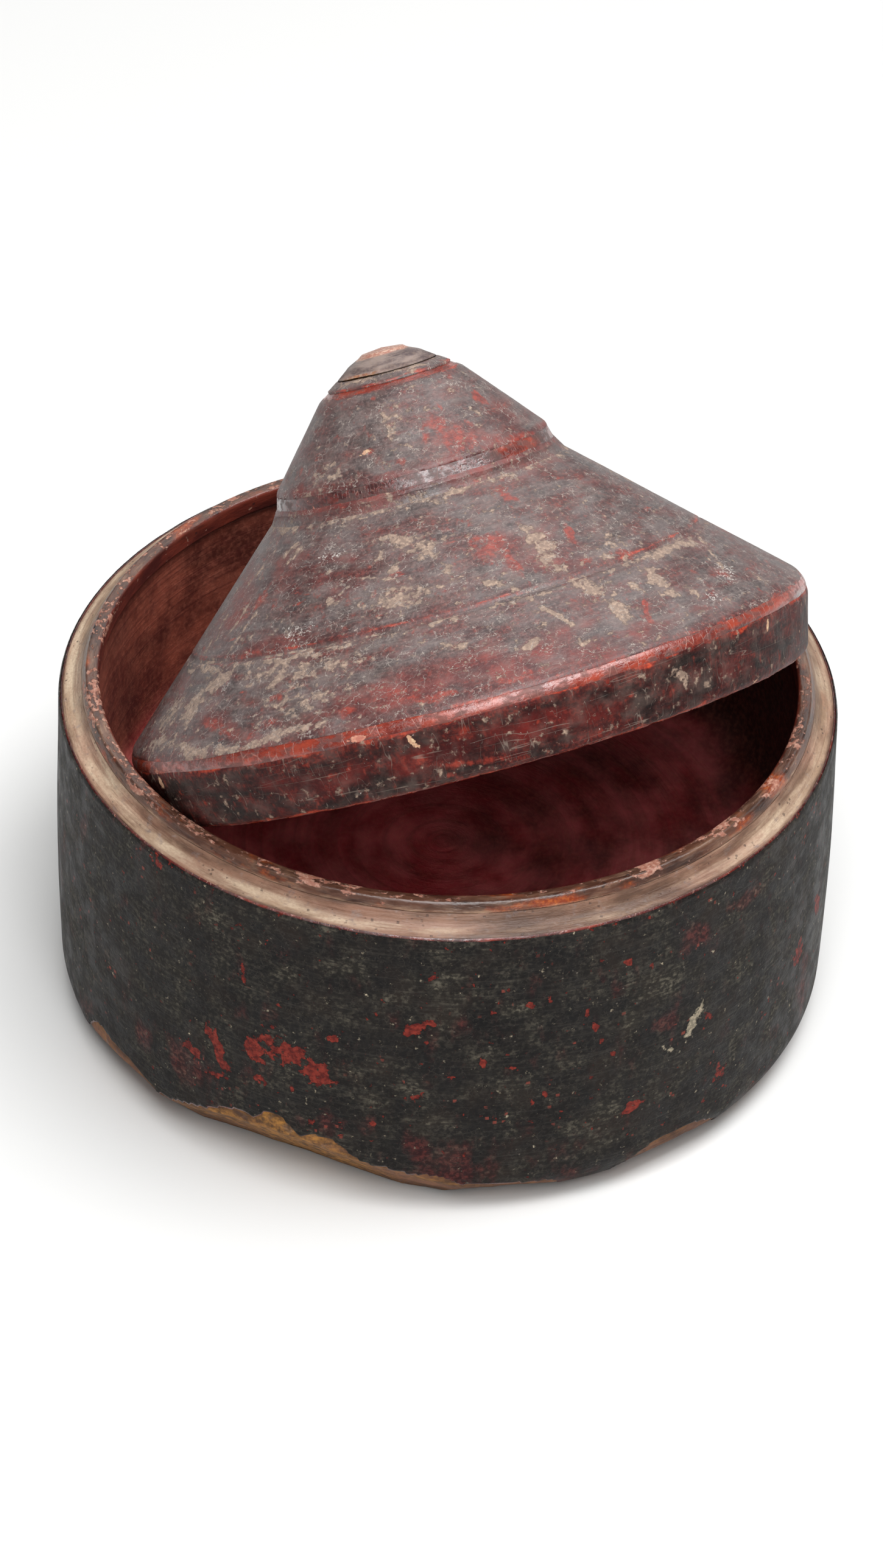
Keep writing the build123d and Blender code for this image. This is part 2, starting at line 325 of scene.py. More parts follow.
# %% Blotches and patches
def on_lathe(material, scale, shift):
    """Each point's place on the lathe, scaled for a pattern and then shifted."""
    return node(material, "ShaderNodeMapping", {
        "Vector": node(material, "ShaderNodeAttribute", attribute_name="turning").outputs["Vector"],
        "Location": shift, "Scale": scale,
    }).outputs[0]


def lathe_noise(material, width, seed, stretch, fineness):
    """Random values around 0.5, their widest features about width millimetres apart."""
    place = on_lathe(material, tuple(s / width for s in stretch), (seed * 13.1, seed * 7.7, seed * 3.3))
    return node(material, "ShaderNodeTexNoise", {
        "Vector": place, "Scale": 1.0, "Detail": fineness, "Roughness": 0.6,
    }).outputs[0]


def mask(material, value, start, end, within=None):
    """0 up to start and 1 from end on, with a smooth step between, kept within another mask."""
    step = node(material, "ShaderNodeMapRange", {
        "Value": value, "From Min": start, "From Max": end,
    }, interpolation_type="SMOOTHSTEP").outputs[0]
    if within is None:
        return step
    return node(material, "ShaderNodeMath", {0: step, 1: within}, operation="MULTIPLY").outputs[0]


def blotches(material, width, edge, seed, stretch=(1, 1, 1), fineness=5, within=None):
    """A mask of random patches all over. edge is where the noise starts and ends to cover."""
    return mask(material, lathe_noise(material, width, seed, stretch, fineness), *edge, within)


def patches(
    material, name, width, soft, seed, stretch=(1, 1, 1), fineness=7, rough=1.7, level=0.8, within=None,
):
    """A mask of ragged patches where the field called name is: a field of 1 covers, 0.5 half covers."""
    noise = lathe_noise(material, width, seed, stretch, fineness)
    ragged_edge = {0: noise, 1: rough, 2: 0.5 - 0.5 * rough}
    noise = node(material, "ShaderNodeMath", ragged_edge, operation="MULTIPLY_ADD").outputs[0]
    field = node(material, "ShaderNodeAttribute", attribute_name=name).outputs["Fac"]
    value = node(material, "ShaderNodeMath", {0: field, 1: 0.6, 2: noise}, operation="MULTIPLY_ADD")
    return mask(material, value.outputs[0], level - soft, level + soft, within)


# %% [markdown]
# Splits and crumbs are what old lac is known by. It shrinks on wood that moves, so it opens along
# fine lines, wandering or straight, and small flakes come off. A line is drawn where a smooth noise
# crosses its middle or where two cells of a Voronoi texture meet, and a share of it stays.

# %% Hair lines, splits and crumbs
def hair_lines(material, width, line, seed, share, stretch=(1, 1, 1)):
    """Thin wandering lines, line millimetres wide, broken into pieces; share is how much remains."""
    noise = lathe_noise(material, width, seed, stretch, 2)
    level = node(material, "ShaderNodeMath", {0: noise, 1: 0.5}, operation="SUBTRACT").outputs[0]
    level = node(material, "ShaderNodeMath", {0: level}, operation="ABSOLUTE").outputs[0]
    steepness = 0.5 / width
    left = blotches(material, width * 1.1, share, seed + 0.5, fineness=3)
    return mask(material, level, line * steepness, 0.0, left)


def split_cells(material, width, line, seed, share, waver=0.5):
    """Thin lines round irregular cells, as in old paint; share is how much of them remains."""
    place = on_lathe(material, (1 / width,) * 3, (seed * 5.3, seed * 2.9, seed * 8.1))
    wobble = node(material, "ShaderNodeTexNoise", {"Vector": place, "Scale": 2.2, "Detail": 4})
    wavy = {0: wobble.outputs["Color"], 1: (waver,) * 3, 2: place}
    place = node(material, "ShaderNodeVectorMath", wavy, operation="MULTIPLY_ADD").outputs[0]
    cells = node(material, "ShaderNodeTexVoronoi", {
        "Vector": place, "Scale": 1.0,
    }, feature="DISTANCE_TO_EDGE")
    left = blotches(material, width * 1.3, share, seed + 0.5, fineness=3)
    return mask(material, cells.outputs["Distance"], line / width, 0.0, left)


def straight_splits(material, apart, long, line, seed, share):
    """Nearly upright splits, apart millimetres from each other and about long millimetres tall."""
    lathe = node(material, "ShaderNodeSeparateXYZ", {
        "Vector": node(material, "ShaderNodeAttribute", attribute_name="turning").outputs["Vector"],
    })
    around = node(material, "ShaderNodeAttribute", attribute_name="around").outputs["Fac"]
    flat = node(material, "ShaderNodeCombineXYZ", {"X": around, "Y": lathe.outputs["Z"]})
    place = node(material, "ShaderNodeMapping", {
        "Vector": flat.outputs[0], "Location": (seed * 5.3, seed * 2.9, 0), "Scale": (1 / apart, 1 / long, 1),
    }).outputs[0]
    cells = node(material, "ShaderNodeTexVoronoi", {
        "Vector": place, "Scale": 1.0,
    }, voronoi_dimensions="2D", feature="DISTANCE_TO_EDGE")
    left = blotches(material, apart * 1.5, share, seed + 0.5, fineness=3)
    return mask(material, cells.outputs["Distance"], line / apart, 0.0, left)


def crumbs(material, apart, size, seed, share):
    """Small angular flakes, one in each cell of apart millimetres at most; share is how many remain."""
    place = on_lathe(material, (1 / apart,) * 3, (seed * 3.3, seed * 9.1, seed * 4.7))
    dots = node(material, "ShaderNodeTexVoronoi", {"Vector": place, "Scale": 1.0}, distance="CHEBYCHEV")
    left = blotches(material, apart * 2.5, share, seed + 0.5, fineness=3)
    return mask(material, dots.outputs["Distance"], size / apart * 0.6, size / apart * 0.45, left)


# %% [markdown]
# The box's side is shellac blackened with soot, and age has made it matt and porous. Such a surface
# reflects less than a fresh film, so its index of refraction is set to 1.4 and not to 1.5. A black
# with a bump on it would look like plastic. The eye sees a charcoal with faint brown and green in
# it, never one black, so each of its parts is a layer here: a leathery grain of fine grey lines,
# grey-green films of dust, tiny pale and red flecks, maroon where the black is thin, and crisp red
# flakes where it has chipped down to the red coat.

# %% Dark lac on the box
def charcoal_lac():
    m = new_material("sooted_shellac_weathered")
    cloud = blotches(m, 26, (0.38, 0.62), 1)
    mottle = blotches(m, 6, (0.38, 0.62), 2)
    fine = blotches(m, 1.2, (0.42, 0.66), 3, fineness=7)
    base = over(m, "#070607", "#131111", cloud)
    base = over(m, base, "#1b1716", mottle, 0.5)
    base = over(m, base, "#2b211b", blotches(m, 17, (0.5, 0.68), 14, fineness=7), 0.5)
    base = over(m, base, "#292522", fine, 0.5)
    grain = split_cells(m, 1.6, 0.1, 4, share=(0.46, 0.6))
    base = over(m, base, "#4c463f", grain, 0.35)
    turning = blotches(m, 0.9, (0.52, 0.7), 5, stretch=(0.05, 0.05, 1), fineness=3)
    base = over(m, base, "#3b3732", turning, 0.35)
    thin = patches(m, "maroon", 7, 0.2, 6, stretch=(1, 1, 0.5))
    base = over(m, base, over(m, "#2e1012", "#5e2a26", fine), thin, 0.8)
    film = patches(m, "film", 8, 0.42, 7, fineness=10, level=0.74)
    scuffed = blotches(m, 0.8, (0.36, 0.62), 15, stretch=(0.12, 0.12, 1), fineness=4, within=fine)
    base = over(m, base, over(m, "#38352f", "#938b79", scuffed), film, 0.5)
    tinted = blotches(m, 24, (0.46, 0.6), 9, within=crumbs(m, 2.6, 0.9, 8, share=(0.56, 0.62)))
    base = over(m, base, "#7c3a30", tinted, 0.85)
    pale = crumbs(m, 3.1, 0.4, 10, share=(0.48, 0.6))
    base = over(m, base, "#8f857a", pale, 0.36)
    chipped = patches(m, "red", 2.2, 0.03, 11)
    ground = over(m, "#501411", "#842f24", blotches(m, 1.4, (0.35, 0.65), 12))
    base = over(m, base, ground, chipped, 0.94)
    bare = patches(m, "bare", 1.8, 0.06, 13)
    base = over(m, base, over(m, "#7d7564", "#b3a58e", fine), bare, 0.94)
    rough = roughness(m, 0.42, (0.6, mottle), (0.8, film), (0.55, chipped))
    bump = relief(
        m, (fine, 0.035), (mottle, 0.08), (grain, -0.03), (turning, 0.03), (chipped, -0.22), (bare, -0.25),
    )
    return finish(m, base, rough, bump, ior=1.4, gloss=0.17)


dark_lac = charcoal_lac()

# %% [markdown]
# Red lac is shellac coloured with vermilion and rubbed up to a gloss. It shows as a line at the
# rim and, on the lid, at the shoulder, the ridge and the ring, where hands have worn the dark off.
# One smooth gloss would put an even bar of light on the ridge. The real light is broken, so rough
# dirt lies in patches over it. The dull field turns the red to a dark maroon, as on the ridge, which
# has kept some of its dark coat.

# %% Red lac
def vermilion_lac():
    m = new_material("vermilion_shellac_rubbed_glossy")
    mottle = blotches(m, 5, (0.35, 0.65), 21, stretch=(0.4, 0.4, 1))
    fine = blotches(m, 1.1, (0.4, 0.7), 22)
    base = over(m, "#66190e", "#96331b", mottle)
    base = over(m, base, "#ab4a2b", fine, 0.2)
    dull = patches(m, "dull", 4, 0.3, 23, stretch=(0.4, 0.4, 1))
    base = over(m, base, over(m, "#2f1617", "#5e2320", fine), dull, 0.92)
    dirt = blotches(m, 2.6, (0.48, 0.6), 24, stretch=(0.6, 0.6, 1), fineness=8)
    base = over(m, base, "#40261f", dirt, 0.6)
    split = straight_splits(m, 2.8, 9, 0.13, 25, share=(0.44, 0.56))
    base = over(m, base, "#a8786a", split, 0.5)
    chips = patches(m, "bare", 1.8, 0.03, 26)
    base = over(m, base, over(m, "#a8604c", "#c58a70", fine), chips)
    rough = roughness(m, 0.2, (0.34, mottle), (0.8, dirt), (0.7, chips))
    bump = relief(m, (fine, 0.04), (mottle, 0.14), (dirt, 0.06), (split, -0.06), (chips, -0.35))
    return finish(m, base, rough, bump, clear=0.35, gloss=0.9)


red_lac = vermilion_lac()

# %% [markdown]
# The lid's dark lac is thinner and dustier than the box's: a mauve brown with vermilion showing
# through in rubbed clouds that run down the slope, tan dust caked in patches, and fine splits. On
# the cone the splits wander; on the band they run straight up and straight round, 2 to 4 mm apart.
# Dust has filled them, so they are lighter than the lac. The band's colours are much darker than the
# cone's: painted shade, for the band faces sideways, away from the light above, while the cone faces
# up into it. So one function makes both finishes and is told which it is for.

# %% Dark lac on the lid
def dusty_lac(name, on_band):
    m = new_material(name)
    mottle = blotches(m, 10, (0.35, 0.65), 31)
    fine = blotches(m, 1.0, (0.42, 0.66), 32, fineness=7)
    grain = blotches(m, 0.55, (0.45, 0.62), 33, fineness=4)
    streak = blotches(m, 1.0, (0.45, 0.7), 34, stretch=(0.06, 0.06, 1), fineness=3)
    # On the band every colour chosen below is darker: painted shade of a side that faces away from the light.
    dark, light, dusted = ("#0d0808", "#1f1313", "#32241f") if on_band else ("#3b3131", "#605453", "#897c77")
    base = over(m, dark, light, mottle)
    base = over(m, base, dusted, fine, 0.3)
    base = over(m, base, dusted, streak, 0.25)
    base = over(m, base, "#1c1414" if on_band else "#2a2020", grain, 0.25)
    stained = blotches(m, 4, (0.56, 0.7), 35, stretch=(0.5, 0.5, 1), fineness=7)
    base = over(m, base, "#120b0c" if on_band else "#281d1d", stained, 0.65)
    glaze = patches(m, "maroon", 7, 0.3, 36, stretch=(0.6, 0.6, 1))
    deep, clear = ("#3a0d0d", "#6a1c17") if on_band else ("#451315", "#7a2a22")
    base = over(m, base, over(m, deep, clear, mottle), glaze, 0.85)
    worn_thin = patches(m, "rubbed", 4, 0.3, 37, stretch=(0.35, 0.35, 1), level=0.6)
    base = over(m, base, over(m, "#411413", "#6e251d", fine), worn_thin, 0.85)
    through = patches(m, "red", 2.6, 0.2, 38, stretch=(1, 1, 0.45), fineness=9)
    ground = over(m, "#66211a", "#963728", blotches(m, 1.6, (0.35, 0.65), 39))
    base = over(m, base, ground, through, 0.82)
    bright = patches(m, "rubbed", 3, 0.12, 40, stretch=(0.35, 0.35, 1), level=0.86)
    base = over(m, base, over(m, "#87281b", "#b4462c", fine), bright, 0.9)
    haze = patches(m, "dust", 5, 0.35, 41, fineness=9, level=0.7)
    base = over(m, base, "#806c64", haze, 0.3)
    dust = patches(m, "dust", 2.8, 0.09, 42, fineness=10, rough=2.0, level=0.78)
    base = over(m, base, over(m, "#816d60", "#a8907e", fine), dust, 0.88)
    specks = blotches(m, 0.7, (0.61, 0.66), 43, fineness=6)
    base = over(m, base, "#4d3c35" if on_band else "#8d7c72", specks, 0.2 if on_band else 0.35)
    if on_band:
        upright = hair_lines(m, 5.0, 0.06, 44, stretch=(1, 1, 0.12), share=(0.44, 0.54))
        level = hair_lines(m, 6.0, 0.06, 45, stretch=(0.08, 0.08, 1), share=(0.42, 0.52))
        splits = node(m, "ShaderNodeMath", {0: upright, 1: level}, operation="MAXIMUM").outputs[0]
    else:
        splits = split_cells(m, 3.8, 0.12, 46, waver=0.9, share=(0.44, 0.54))
    base = over(m, base, "#8c7d72" if on_band else "#a89b92", splits, 0.45 if on_band else 0.75)
    pale = crumbs(m, 3.4, 0.5, 47, share=(0.54, 0.62))
    base = over(m, base, "#a99e92", pale, 0.08 if on_band else 0.4)
    scratches = hair_lines(m, 1.6, 0.14, 49, share=(0.45, 0.5))
    scratched = patches(m, "scratched", 1.0, 0.05, 48, within=scratches)
    base = over(m, base, "#d2ccc4", scratched, 0.8)
    chips = patches(m, "bare", 1.6, 0.02, 50, rough=1.2)
    base = over(m, base, over(m, "#b58a70", "#d1b38f", fine), chips)
    rough = roughness(m, 0.42, (0.6, mottle), (0.85, dust))
    bump = relief(
        m, (fine, 0.04), (streak, 0.03), (dust, 0.12), (through, -0.05), (splits, -0.06), (chips, -0.35),
    )
    return finish(m, base, rough, bump, gloss=0.14 if on_band else 0.75)


lid_lac = dusty_lac("thin_shellac_dust_in_splits", on_band=False)
# The band's copy is the same lac with its colours darkened as painted shade.
band_shaded_lac = dusty_lac("thin_shellac_handled_dark", on_band=True)

# %% [markdown]
# Bare wood shows where coats are gone: cream on the ledge that the lid has rubbed for years, ochre
# where the foot has broken, and brown where hands and dirt reach. The field called tone says which,
# from 0 for torn ochre to 1 for rubbed cream; a second field darkens it, as real stain and, along
# the ledge's two edges, as painted shade. The grain runs across the piece, as in a bowl turned from
# the side of a log, with fibres a little under a millimetre apart: real ones are finer, but would not
# show at the size of the picture.

# %% Bare turned wood
def turned_wood():
    m = new_material("turned_hardwood_rubbed_bare")
    tone = node(m, "ShaderNodeAttribute", attribute_name="tone").outputs["Fac"]
    mottle = blotches(m, 6, (0.35, 0.65), 51, stretch=(0.25, 0.25, 1))
    fine = blotches(m, 0.8, (0.42, 0.66), 52, fineness=6)
    fibre = blotches(m, 0.9, (0.4, 0.66), 53, stretch=(0.15, 1, 1), fineness=4)
    torn = over(m, "#52361a", "#b07935", blotches(m, 2.4, (0.35, 0.65), 54, fineness=7))
    torn = over(m, torn, "#33251a", fibre, 0.45)
    rubbed = over(m, "#947961", "#bfab93", mottle)
    rubbed = over(m, rubbed, "#9a6553", blotches(m, 7, (0.48, 0.7), 55, stretch=(0.2, 0.2, 1)), 0.5)
    rings = blotches(m, 0.7, (0.48, 0.66), 56, stretch=(0.03, 0.03, 1), fineness=3)
    rubbed = over(m, rubbed, "#6f5040", rings, 0.4)
    rubbed = over(m, rubbed, "#7c6250", fine, 0.3)
    base = over(m, torn, rubbed, tone)
    # Darker where the second field asks: stain, and painted shade along the ledge's two edges.
    stained = patches(m, "stain_and_shade", 3, 0.35, 57, stretch=(0.15, 0.15, 1))
    base = over(m, base, over(m, "#3d241b", "#7c5442", mottle), stained, 0.85)
    dirt = crumbs(m, 1.9, 0.6, 58, share=(0.48, 0.6))
    base = over(m, base, "#3b2a24", dirt, 0.65)
    grimy = patches(m, "grime", 3, 0.2, 59)
    caked = blotches(m, 4, (0.4, 0.62), 60, stretch=(0.4, 0.4, 1), fineness=8)
    grime = over(m, over(m, "#514547", "#8a7b75", caked), "#8d7b70", fine, 0.4)
    base = over(m, base, grime, grimy, 0.94)
    flushed = node(m, "ShaderNodeAttribute", attribute_name="flushed").outputs["Fac"]
    base = over(m, base, over(m, "#a06a5c", "#cbac9a", fine), flushed, 0.85)
    rough = roughness(m, 0.8, (0.45, tone))
    bump = relief(m, (fibre, 0.05), (rings, 0.05), (mottle, 0.06), (dirt, -0.05))
    return finish(m, base, rough, bump, gloss=0.4)


bare_wood = turned_wood()

# %% [markdown]
# Brown lac on the lip is thick and clear, like dark honey: brown over the wood, amber where it is
# thin, with pale pink knocks along the top edge where the lid hits it, and red on its inner side.
# Real depth in a film this thin would cost much to render and show little, so the amber is laid on
# as a colour, and a light clear layer on top gives the wet look.

# %% Brown lac on the lip
def honey_lac():
    m = new_material("clear_brown_shellac_knocked")
    mottle = blotches(m, 6, (0.35, 0.65), 61, stretch=(0.4, 0.4, 1))
    drawn = blotches(m, 1.0, (0.4, 0.7), 62, stretch=(0.2, 0.2, 1))
    fine = blotches(m, 1.0, (0.4, 0.7), 63)
    base = over(m, "#26140f", "#4b2d21", mottle)
    base = over(m, base, "#6d4b3b", drawn, 0.4)
    base = over(m, base, "#241614", blotches(m, 2.6, (0.6, 0.7), 64), 0.6)
    amber = patches(m, "amber", 5, 0.2, 65, stretch=(0.5, 0.5, 1))
    base = over(m, base, over(m, "#7c2f12", "#a85420", fine), amber, 0.9)
    thin = patches(m, "thin", 3, 0.4, 68, stretch=(0.15, 0.15, 1))
    base = over(m, base, over(m, "#7c5845", "#a98a70", drawn), thin, 0.8)
    inner = node(m, "ShaderNodeAttribute", attribute_name="inner").outputs["Fac"]
    base = over(m, base, over(m, "#3d1714", "#6b2c21", mottle), inner, 0.9)
    knocks = patches(m, "bare", 1.8, 0.06, 66, stretch=(0.7, 0.7, 1))
    base = over(m, base, over(m, "#925c4a", "#bd9380", fine), knocks, 0.8)
    dark = crumbs(m, 2.8, 0.7, 67, share=(0.5, 0.62))
    base = over(m, base, "#20191a", dark, 0.7)
    rough = roughness(m, 0.3, (0.6, knocks))
    bump = relief(m, (drawn, 0.05), (mottle, 0.12), (knocks, -0.12))
    return finish(m, base, rough, bump, clear=0.15)


brown_lac = honey_lac()

# %% [markdown]
# Inside, the lac is a warm red brown on the wall and crimson on the floor, with the rings that the
# turning tool left, a few millimetres apart, and darker stains. On the right of the wall the lid's
# shadow is painted in as shade. The rings could be cut into the mesh, but they are so shallow that a
# noise drawn out round the axis gives them.

# %% Red lac inside
def inside_shellac():
    m = new_material("red_brown_shellac_inside")
    mottle = blotches(m, 14, (0.35, 0.65), 71)
    rings = blotches(m, 3.0, (0.4, 0.65), 72, stretch=(0.03, 0.03, 1), fineness=3)
    fine = blotches(m, 1.4, (0.4, 0.7), 74)
    wall = over(m, "#4a1e16", "#83402e", mottle)
    floor = over(m, "#952c32", "#be5456", mottle)
    base = over(m, wall, floor, node(m, "ShaderNodeAttribute", attribute_name="floor").outputs["Fac"])
    # Painted shade: the lid's shadow lies near black on the right of the wall.
    shaded = patches(m, "stain_and_shade", 18, 0.4, 75, fineness=3, rough=1.0, level=0.7)
    base = over(m, base, "#0c0404", shaded, 0.94)
    base = over(m, base, "#4a1a16", rings, 0.35)
    base = over(m, base, "#3f1613", blotches(m, 6, (0.55, 0.75), 73), 0.4)
    base = over(m, base, "#b8705a", fine, 0.15)
    rough = roughness(m, 0.45, (0.65, mottle))
    bump = relief(m, (rings, 0.12), (fine, 0.06))
    return finish(m, base, rough, bump)


inside_lac = inside_shellac()

# %% [markdown]
# ## Outlines
#
# The outlines repeat the measured model's sizes: corners of radius, height and rounding. A coat lies
# a given depth below the outermost surface, so a helper moves an outline in by a depth, keeping its
# ends at their height. The belly is one long curve: its rounding starts 26 mm from its corner.

# %% The measured outlines
def inset(corners, depth):
    """The same open outline moved in by depth; it runs with the piece on its left."""
    steps = np.diff(np.array(corners)[:, :2], axis=0)
    out = np.column_stack([steps[:, 1], -steps[:, 0]]) / np.hypot(*steps.T)[:, None]
    moved = []
    for k, (radius, height, rounding) in enumerate(corners):
        before, after = out[max(k - 1, 0)], out[min(k, len(out) - 1)]
        if k in (0, len(corners) - 1):
            moved.append((radius - depth / before[0], height, 0))
            continue
        share = depth / (1 + before @ after)
        convex = before[0] * after[1] > before[1] * after[0]
        rounding = max(rounding - depth, 0) if convex else rounding + depth
        moved.append((radius - share * (before + after)[0], height - share * (before + after)[1], rounding))
    return moved


RED_COAT, DARK_COAT, LIP_COAT, INSIDE_COAT = 0.5, 0.4, 0.4, 0.5
COATS = RED_COAT + DARK_COAT
RIM_RADIUS, RIM_HEIGHT, FOOT_ROUND = 100.0, 90.0, 12.5
BELLY_ROUND = 26 / tan(asin((1.9 + 1.3) / 45) / 2)
SIDE = [(99.4, 0, FOOT_ROUND), (101.3, 45, BELLY_ROUND), (RIM_RADIUS, RIM_HEIGHT, 0)]
LIP_TOP = 96.4
LIP = [(94.8, 92.2, 0), (92.8, LIP_TOP, 0.9), (89.4, LIP_TOP, 0.9), (89.4, 91.4, 0)]
WALL_TOP, FLOOR_HEIGHT = 90.2, 40.8
INSIDE = [(90.6, WALL_TOP, 0), (88, FLOOR_HEIGHT, 16), (0, FLOOR_HEIGHT, 0)]
UNDER_INSIDE = [
    (90.6 + INSIDE_COAT, WALL_TOP, 0), (88 + INSIDE_COAT, FLOOR_HEIGHT - INSIDE_COAT, 16 + INSIDE_COAT),
    (0, FLOOR_HEIGHT - INSIDE_COAT, 0),
]
LID_WALL, NECK_HEIGHT, LID_TOP = 8.0, 66.6, 96.8
LID_CONE = [(85.3, 0, 0), (89.9, 18, 4.7), (37.7, NECK_HEIGHT, 0)]
LID_OUTSIDE = LID_CONE[:2] + [
    (37.7, NECK_HEIGHT, 3.8), (35.9, 72.7, 3.1), (18.3, 93.4, 1.2), (13.2, LID_TOP, 0),
]


def side_corners(depth):
    """Foot, belly and rim of the box's side, moved in by depth."""
    (foot, _, foot_round), (belly, middle, belly_round), (rim, top, _) = SIDE
    return [
        (72, 0, 0), (foot - depth, 0, foot_round - depth), (belly - depth, middle, belly_round),
        (rim - depth, top, 0),
    ]


def thinned(path, busy, keep):
    """Keeps one point in so many of a path where it is hidden or plain, and all where it is busy."""
    wanted = busy(path[:, 0], path[:, 1])
    wanted[::keep] = wanted[-1] = wanted[0] = True
    return path[wanted]


def lengths(path):
    return np.r_[0, np.cumsum(np.hypot(*np.diff(path, axis=0).T))]


def outward(path):
    slope = np.gradient(path, axis=0)
    return np.column_stack([slope[:, 1], -slope[:, 0]]) / np.hypot(*slope.T)[:, None]


LID_HOLLOW = [(radius, height, 0) for radius, height, _ in inset(LID_CONE, COATS + LID_WALL)]
print("lid hollow at its edge:", round(LID_HOLLOW[0][0], 1))

# %% [markdown]
# Hand-turned wood moves as it dries and gets knocked, so no surface stays truly round. Every layer
# of a piece sinks by the same shallow dents, a few tenths of a millimetre, so layers never cross.
# The bowl's mouth has also warped: towards the back left it stands out by one to two millimetres.

# %% Dents and warp
BOX_SEED, LID_SEED = 61, 91


def dents(angle, radius, height, seed):
    """How far each point sinks, in millimetres: wide shallow dents with small ones in them."""
    place = points_at(angle, radius, height)
    return 0.13 * (1 + unevenness(place, 42, seed)) + 0.05 * (1 + unevenness(place, 7, seed + 5))


def box_dents(angle, radius, height):
    return dents(angle, radius, height, BOX_SEED)


def no_dents(angle, radius, height):
    return 0 * angle * height


def warp(angle, height):
    """How far the bowl's wall stands out, in millimetres: only in its upper half, most at the mouth."""
    out = 0.7 * towards(angle, 155, 50) + 1.3 * towards(angle, 112, 24)
    return out * np.clip(2 * height / RIM_HEIGHT - 1, 0, 1) ** 2


def no_warp(angle, height):
    return 0 * angle * height


foot_mouth = warp(radians(112), np.array([0.0, RIM_HEIGHT]))
print("warp at 112 degrees, foot and mouth:", foot_mouth.round(2), "mm")

# %% [markdown]
# A solid piece is one outline from axis to axis. A coat is a thin shell that starts and stops at
# ragged edges, so its low and high edges are given for every direction round the axis. It could be
# a colour painted on the wood, but a real coat is a body of its own with an edge that catches the
# light where it has chipped. Wear thins a coat out towards its edges, so it tapers to a tenth of its
# thickness, over the length called taper, and leaves almost no step. A row of points 0.03 mm inside
# each edge keeps smooth shading from drawing a dark line there. Dents fade out towards the axis,
# where all directions meet in one point, and so does the warp.

# %% Solids and coats
CLOSE_ROW = 0.03
THIN_EDGE = 0.1
CALM_CENTRE, CALM_FLOOR = 5, 80


def solid(name, path, sunk, wear, bend=no_warp):
    """A turned solid from a path of (radius, height) that starts and ends on the axis."""
    angle = directions()[:, None]
    normal = outward(path)
    radius, height = path[:, 0][None, :], path[:, 1][None, :]
    depth = sunk(angle, radius, height) * np.minimum(radius / CALM_CENTRE, 1)
    bent = bend(angle, height) * np.minimum(radius / CALM_FLOOR, 1)
    radius_now = np.maximum(radius - depth * normal[:, 0] + bent, 0)
    height_now = height - depth * normal[:, 1]
    along = np.broadcast_to(lengths(path), radius_now.shape)
    return swept(name, radius_now, height_now, along, wear(angle, radius, height), closed=False)


def coat(name, path, low, high, depth, thickness, sunk, wear, bend=no_warp, *, taper, back_rows=12):
    """A thin shell over a path whose height only rises, between ragged edges low and high."""
    angle = directions()[:, None]
    levels = path[:, 1]
    span = levels[-1] - levels[0]
    share = (levels[1:-1] - levels[0]) / span
    share = np.r_[0, CLOSE_ROW / span, share, 1 - CLOSE_ROW / span, 1]
    front = np.r_[np.ones(len(share)), np.zeros(back_rows)]
    share = np.r_[share, np.linspace(1, 0, back_rows)]
    level = low[:, None] + (high - low)[:, None] * share
    near_edge = np.minimum(level - low[:, None], high[:, None] - level) / taper
    full = THIN_EDGE + (1 - THIN_EDGE) * np.clip(near_edge, 0, 1)
    out_path, up_path = outward(path).T
    radius, out, up, along = (
        np.interp(level, levels, values) for values in (path[:, 0], out_path, up_path, lengths(path))
    )
    pull = depth + thickness * (1 - full * front) + sunk(angle, radius, level)
    radius_now = radius - pull * out + bend(angle, level)
    return swept(name, radius_now, level - pull * up, along, wear(angle, radius, level), closed=True)


def ragged(width, seed, layers=3):
    """A random height for every direction round the axis, for the edge of a coat."""
    return unevenness(points_at(directions(), RIM_RADIUS, 0.0), width, seed, layers)


# %% [markdown]
# ## The box
#
# The foot's edge is broken in places. Each break is a flat: a direction round the box, a slope and
# a depth, as on the measured model. A Boolean modifier could cut them, but would leave them smooth
# and spoil the even mesh. Here the points that lie beyond a flat are moved back to it. Wood fibres
# tear unevenly, so each flat gets a rough face, up to 0.9 mm deeper than the flat. No break reaches
# above the foot's lowest 40 mm.

# %% The broken foot
BREAKS = [(246, 40, 6.2), (257, 38, 3.4), (234, 42, 3.0), (218, 40, 2.2), (279, 46, 0.7), (308, 42, 0.7)]
TORN_DEPTH, TORN_UNEVEN, TORN_WIDTH = 0.4, 0.5, 9
FOOT_ZONE = 40


def beyond_break(angle, radius, height, direction, slope, bite):
    """How far a point lies beyond one break's flat."""
    centre = SIDE[0][0] - FOOT_ROUND
    reach = centre * cos(radians(slope)) + FOOT_ROUND * (1 - sin(radians(slope))) - bite
    turn = angle - radians(direction)
    return radius * np.cos(turn) * cos(radians(slope)) - height * sin(radians(slope)) - reach


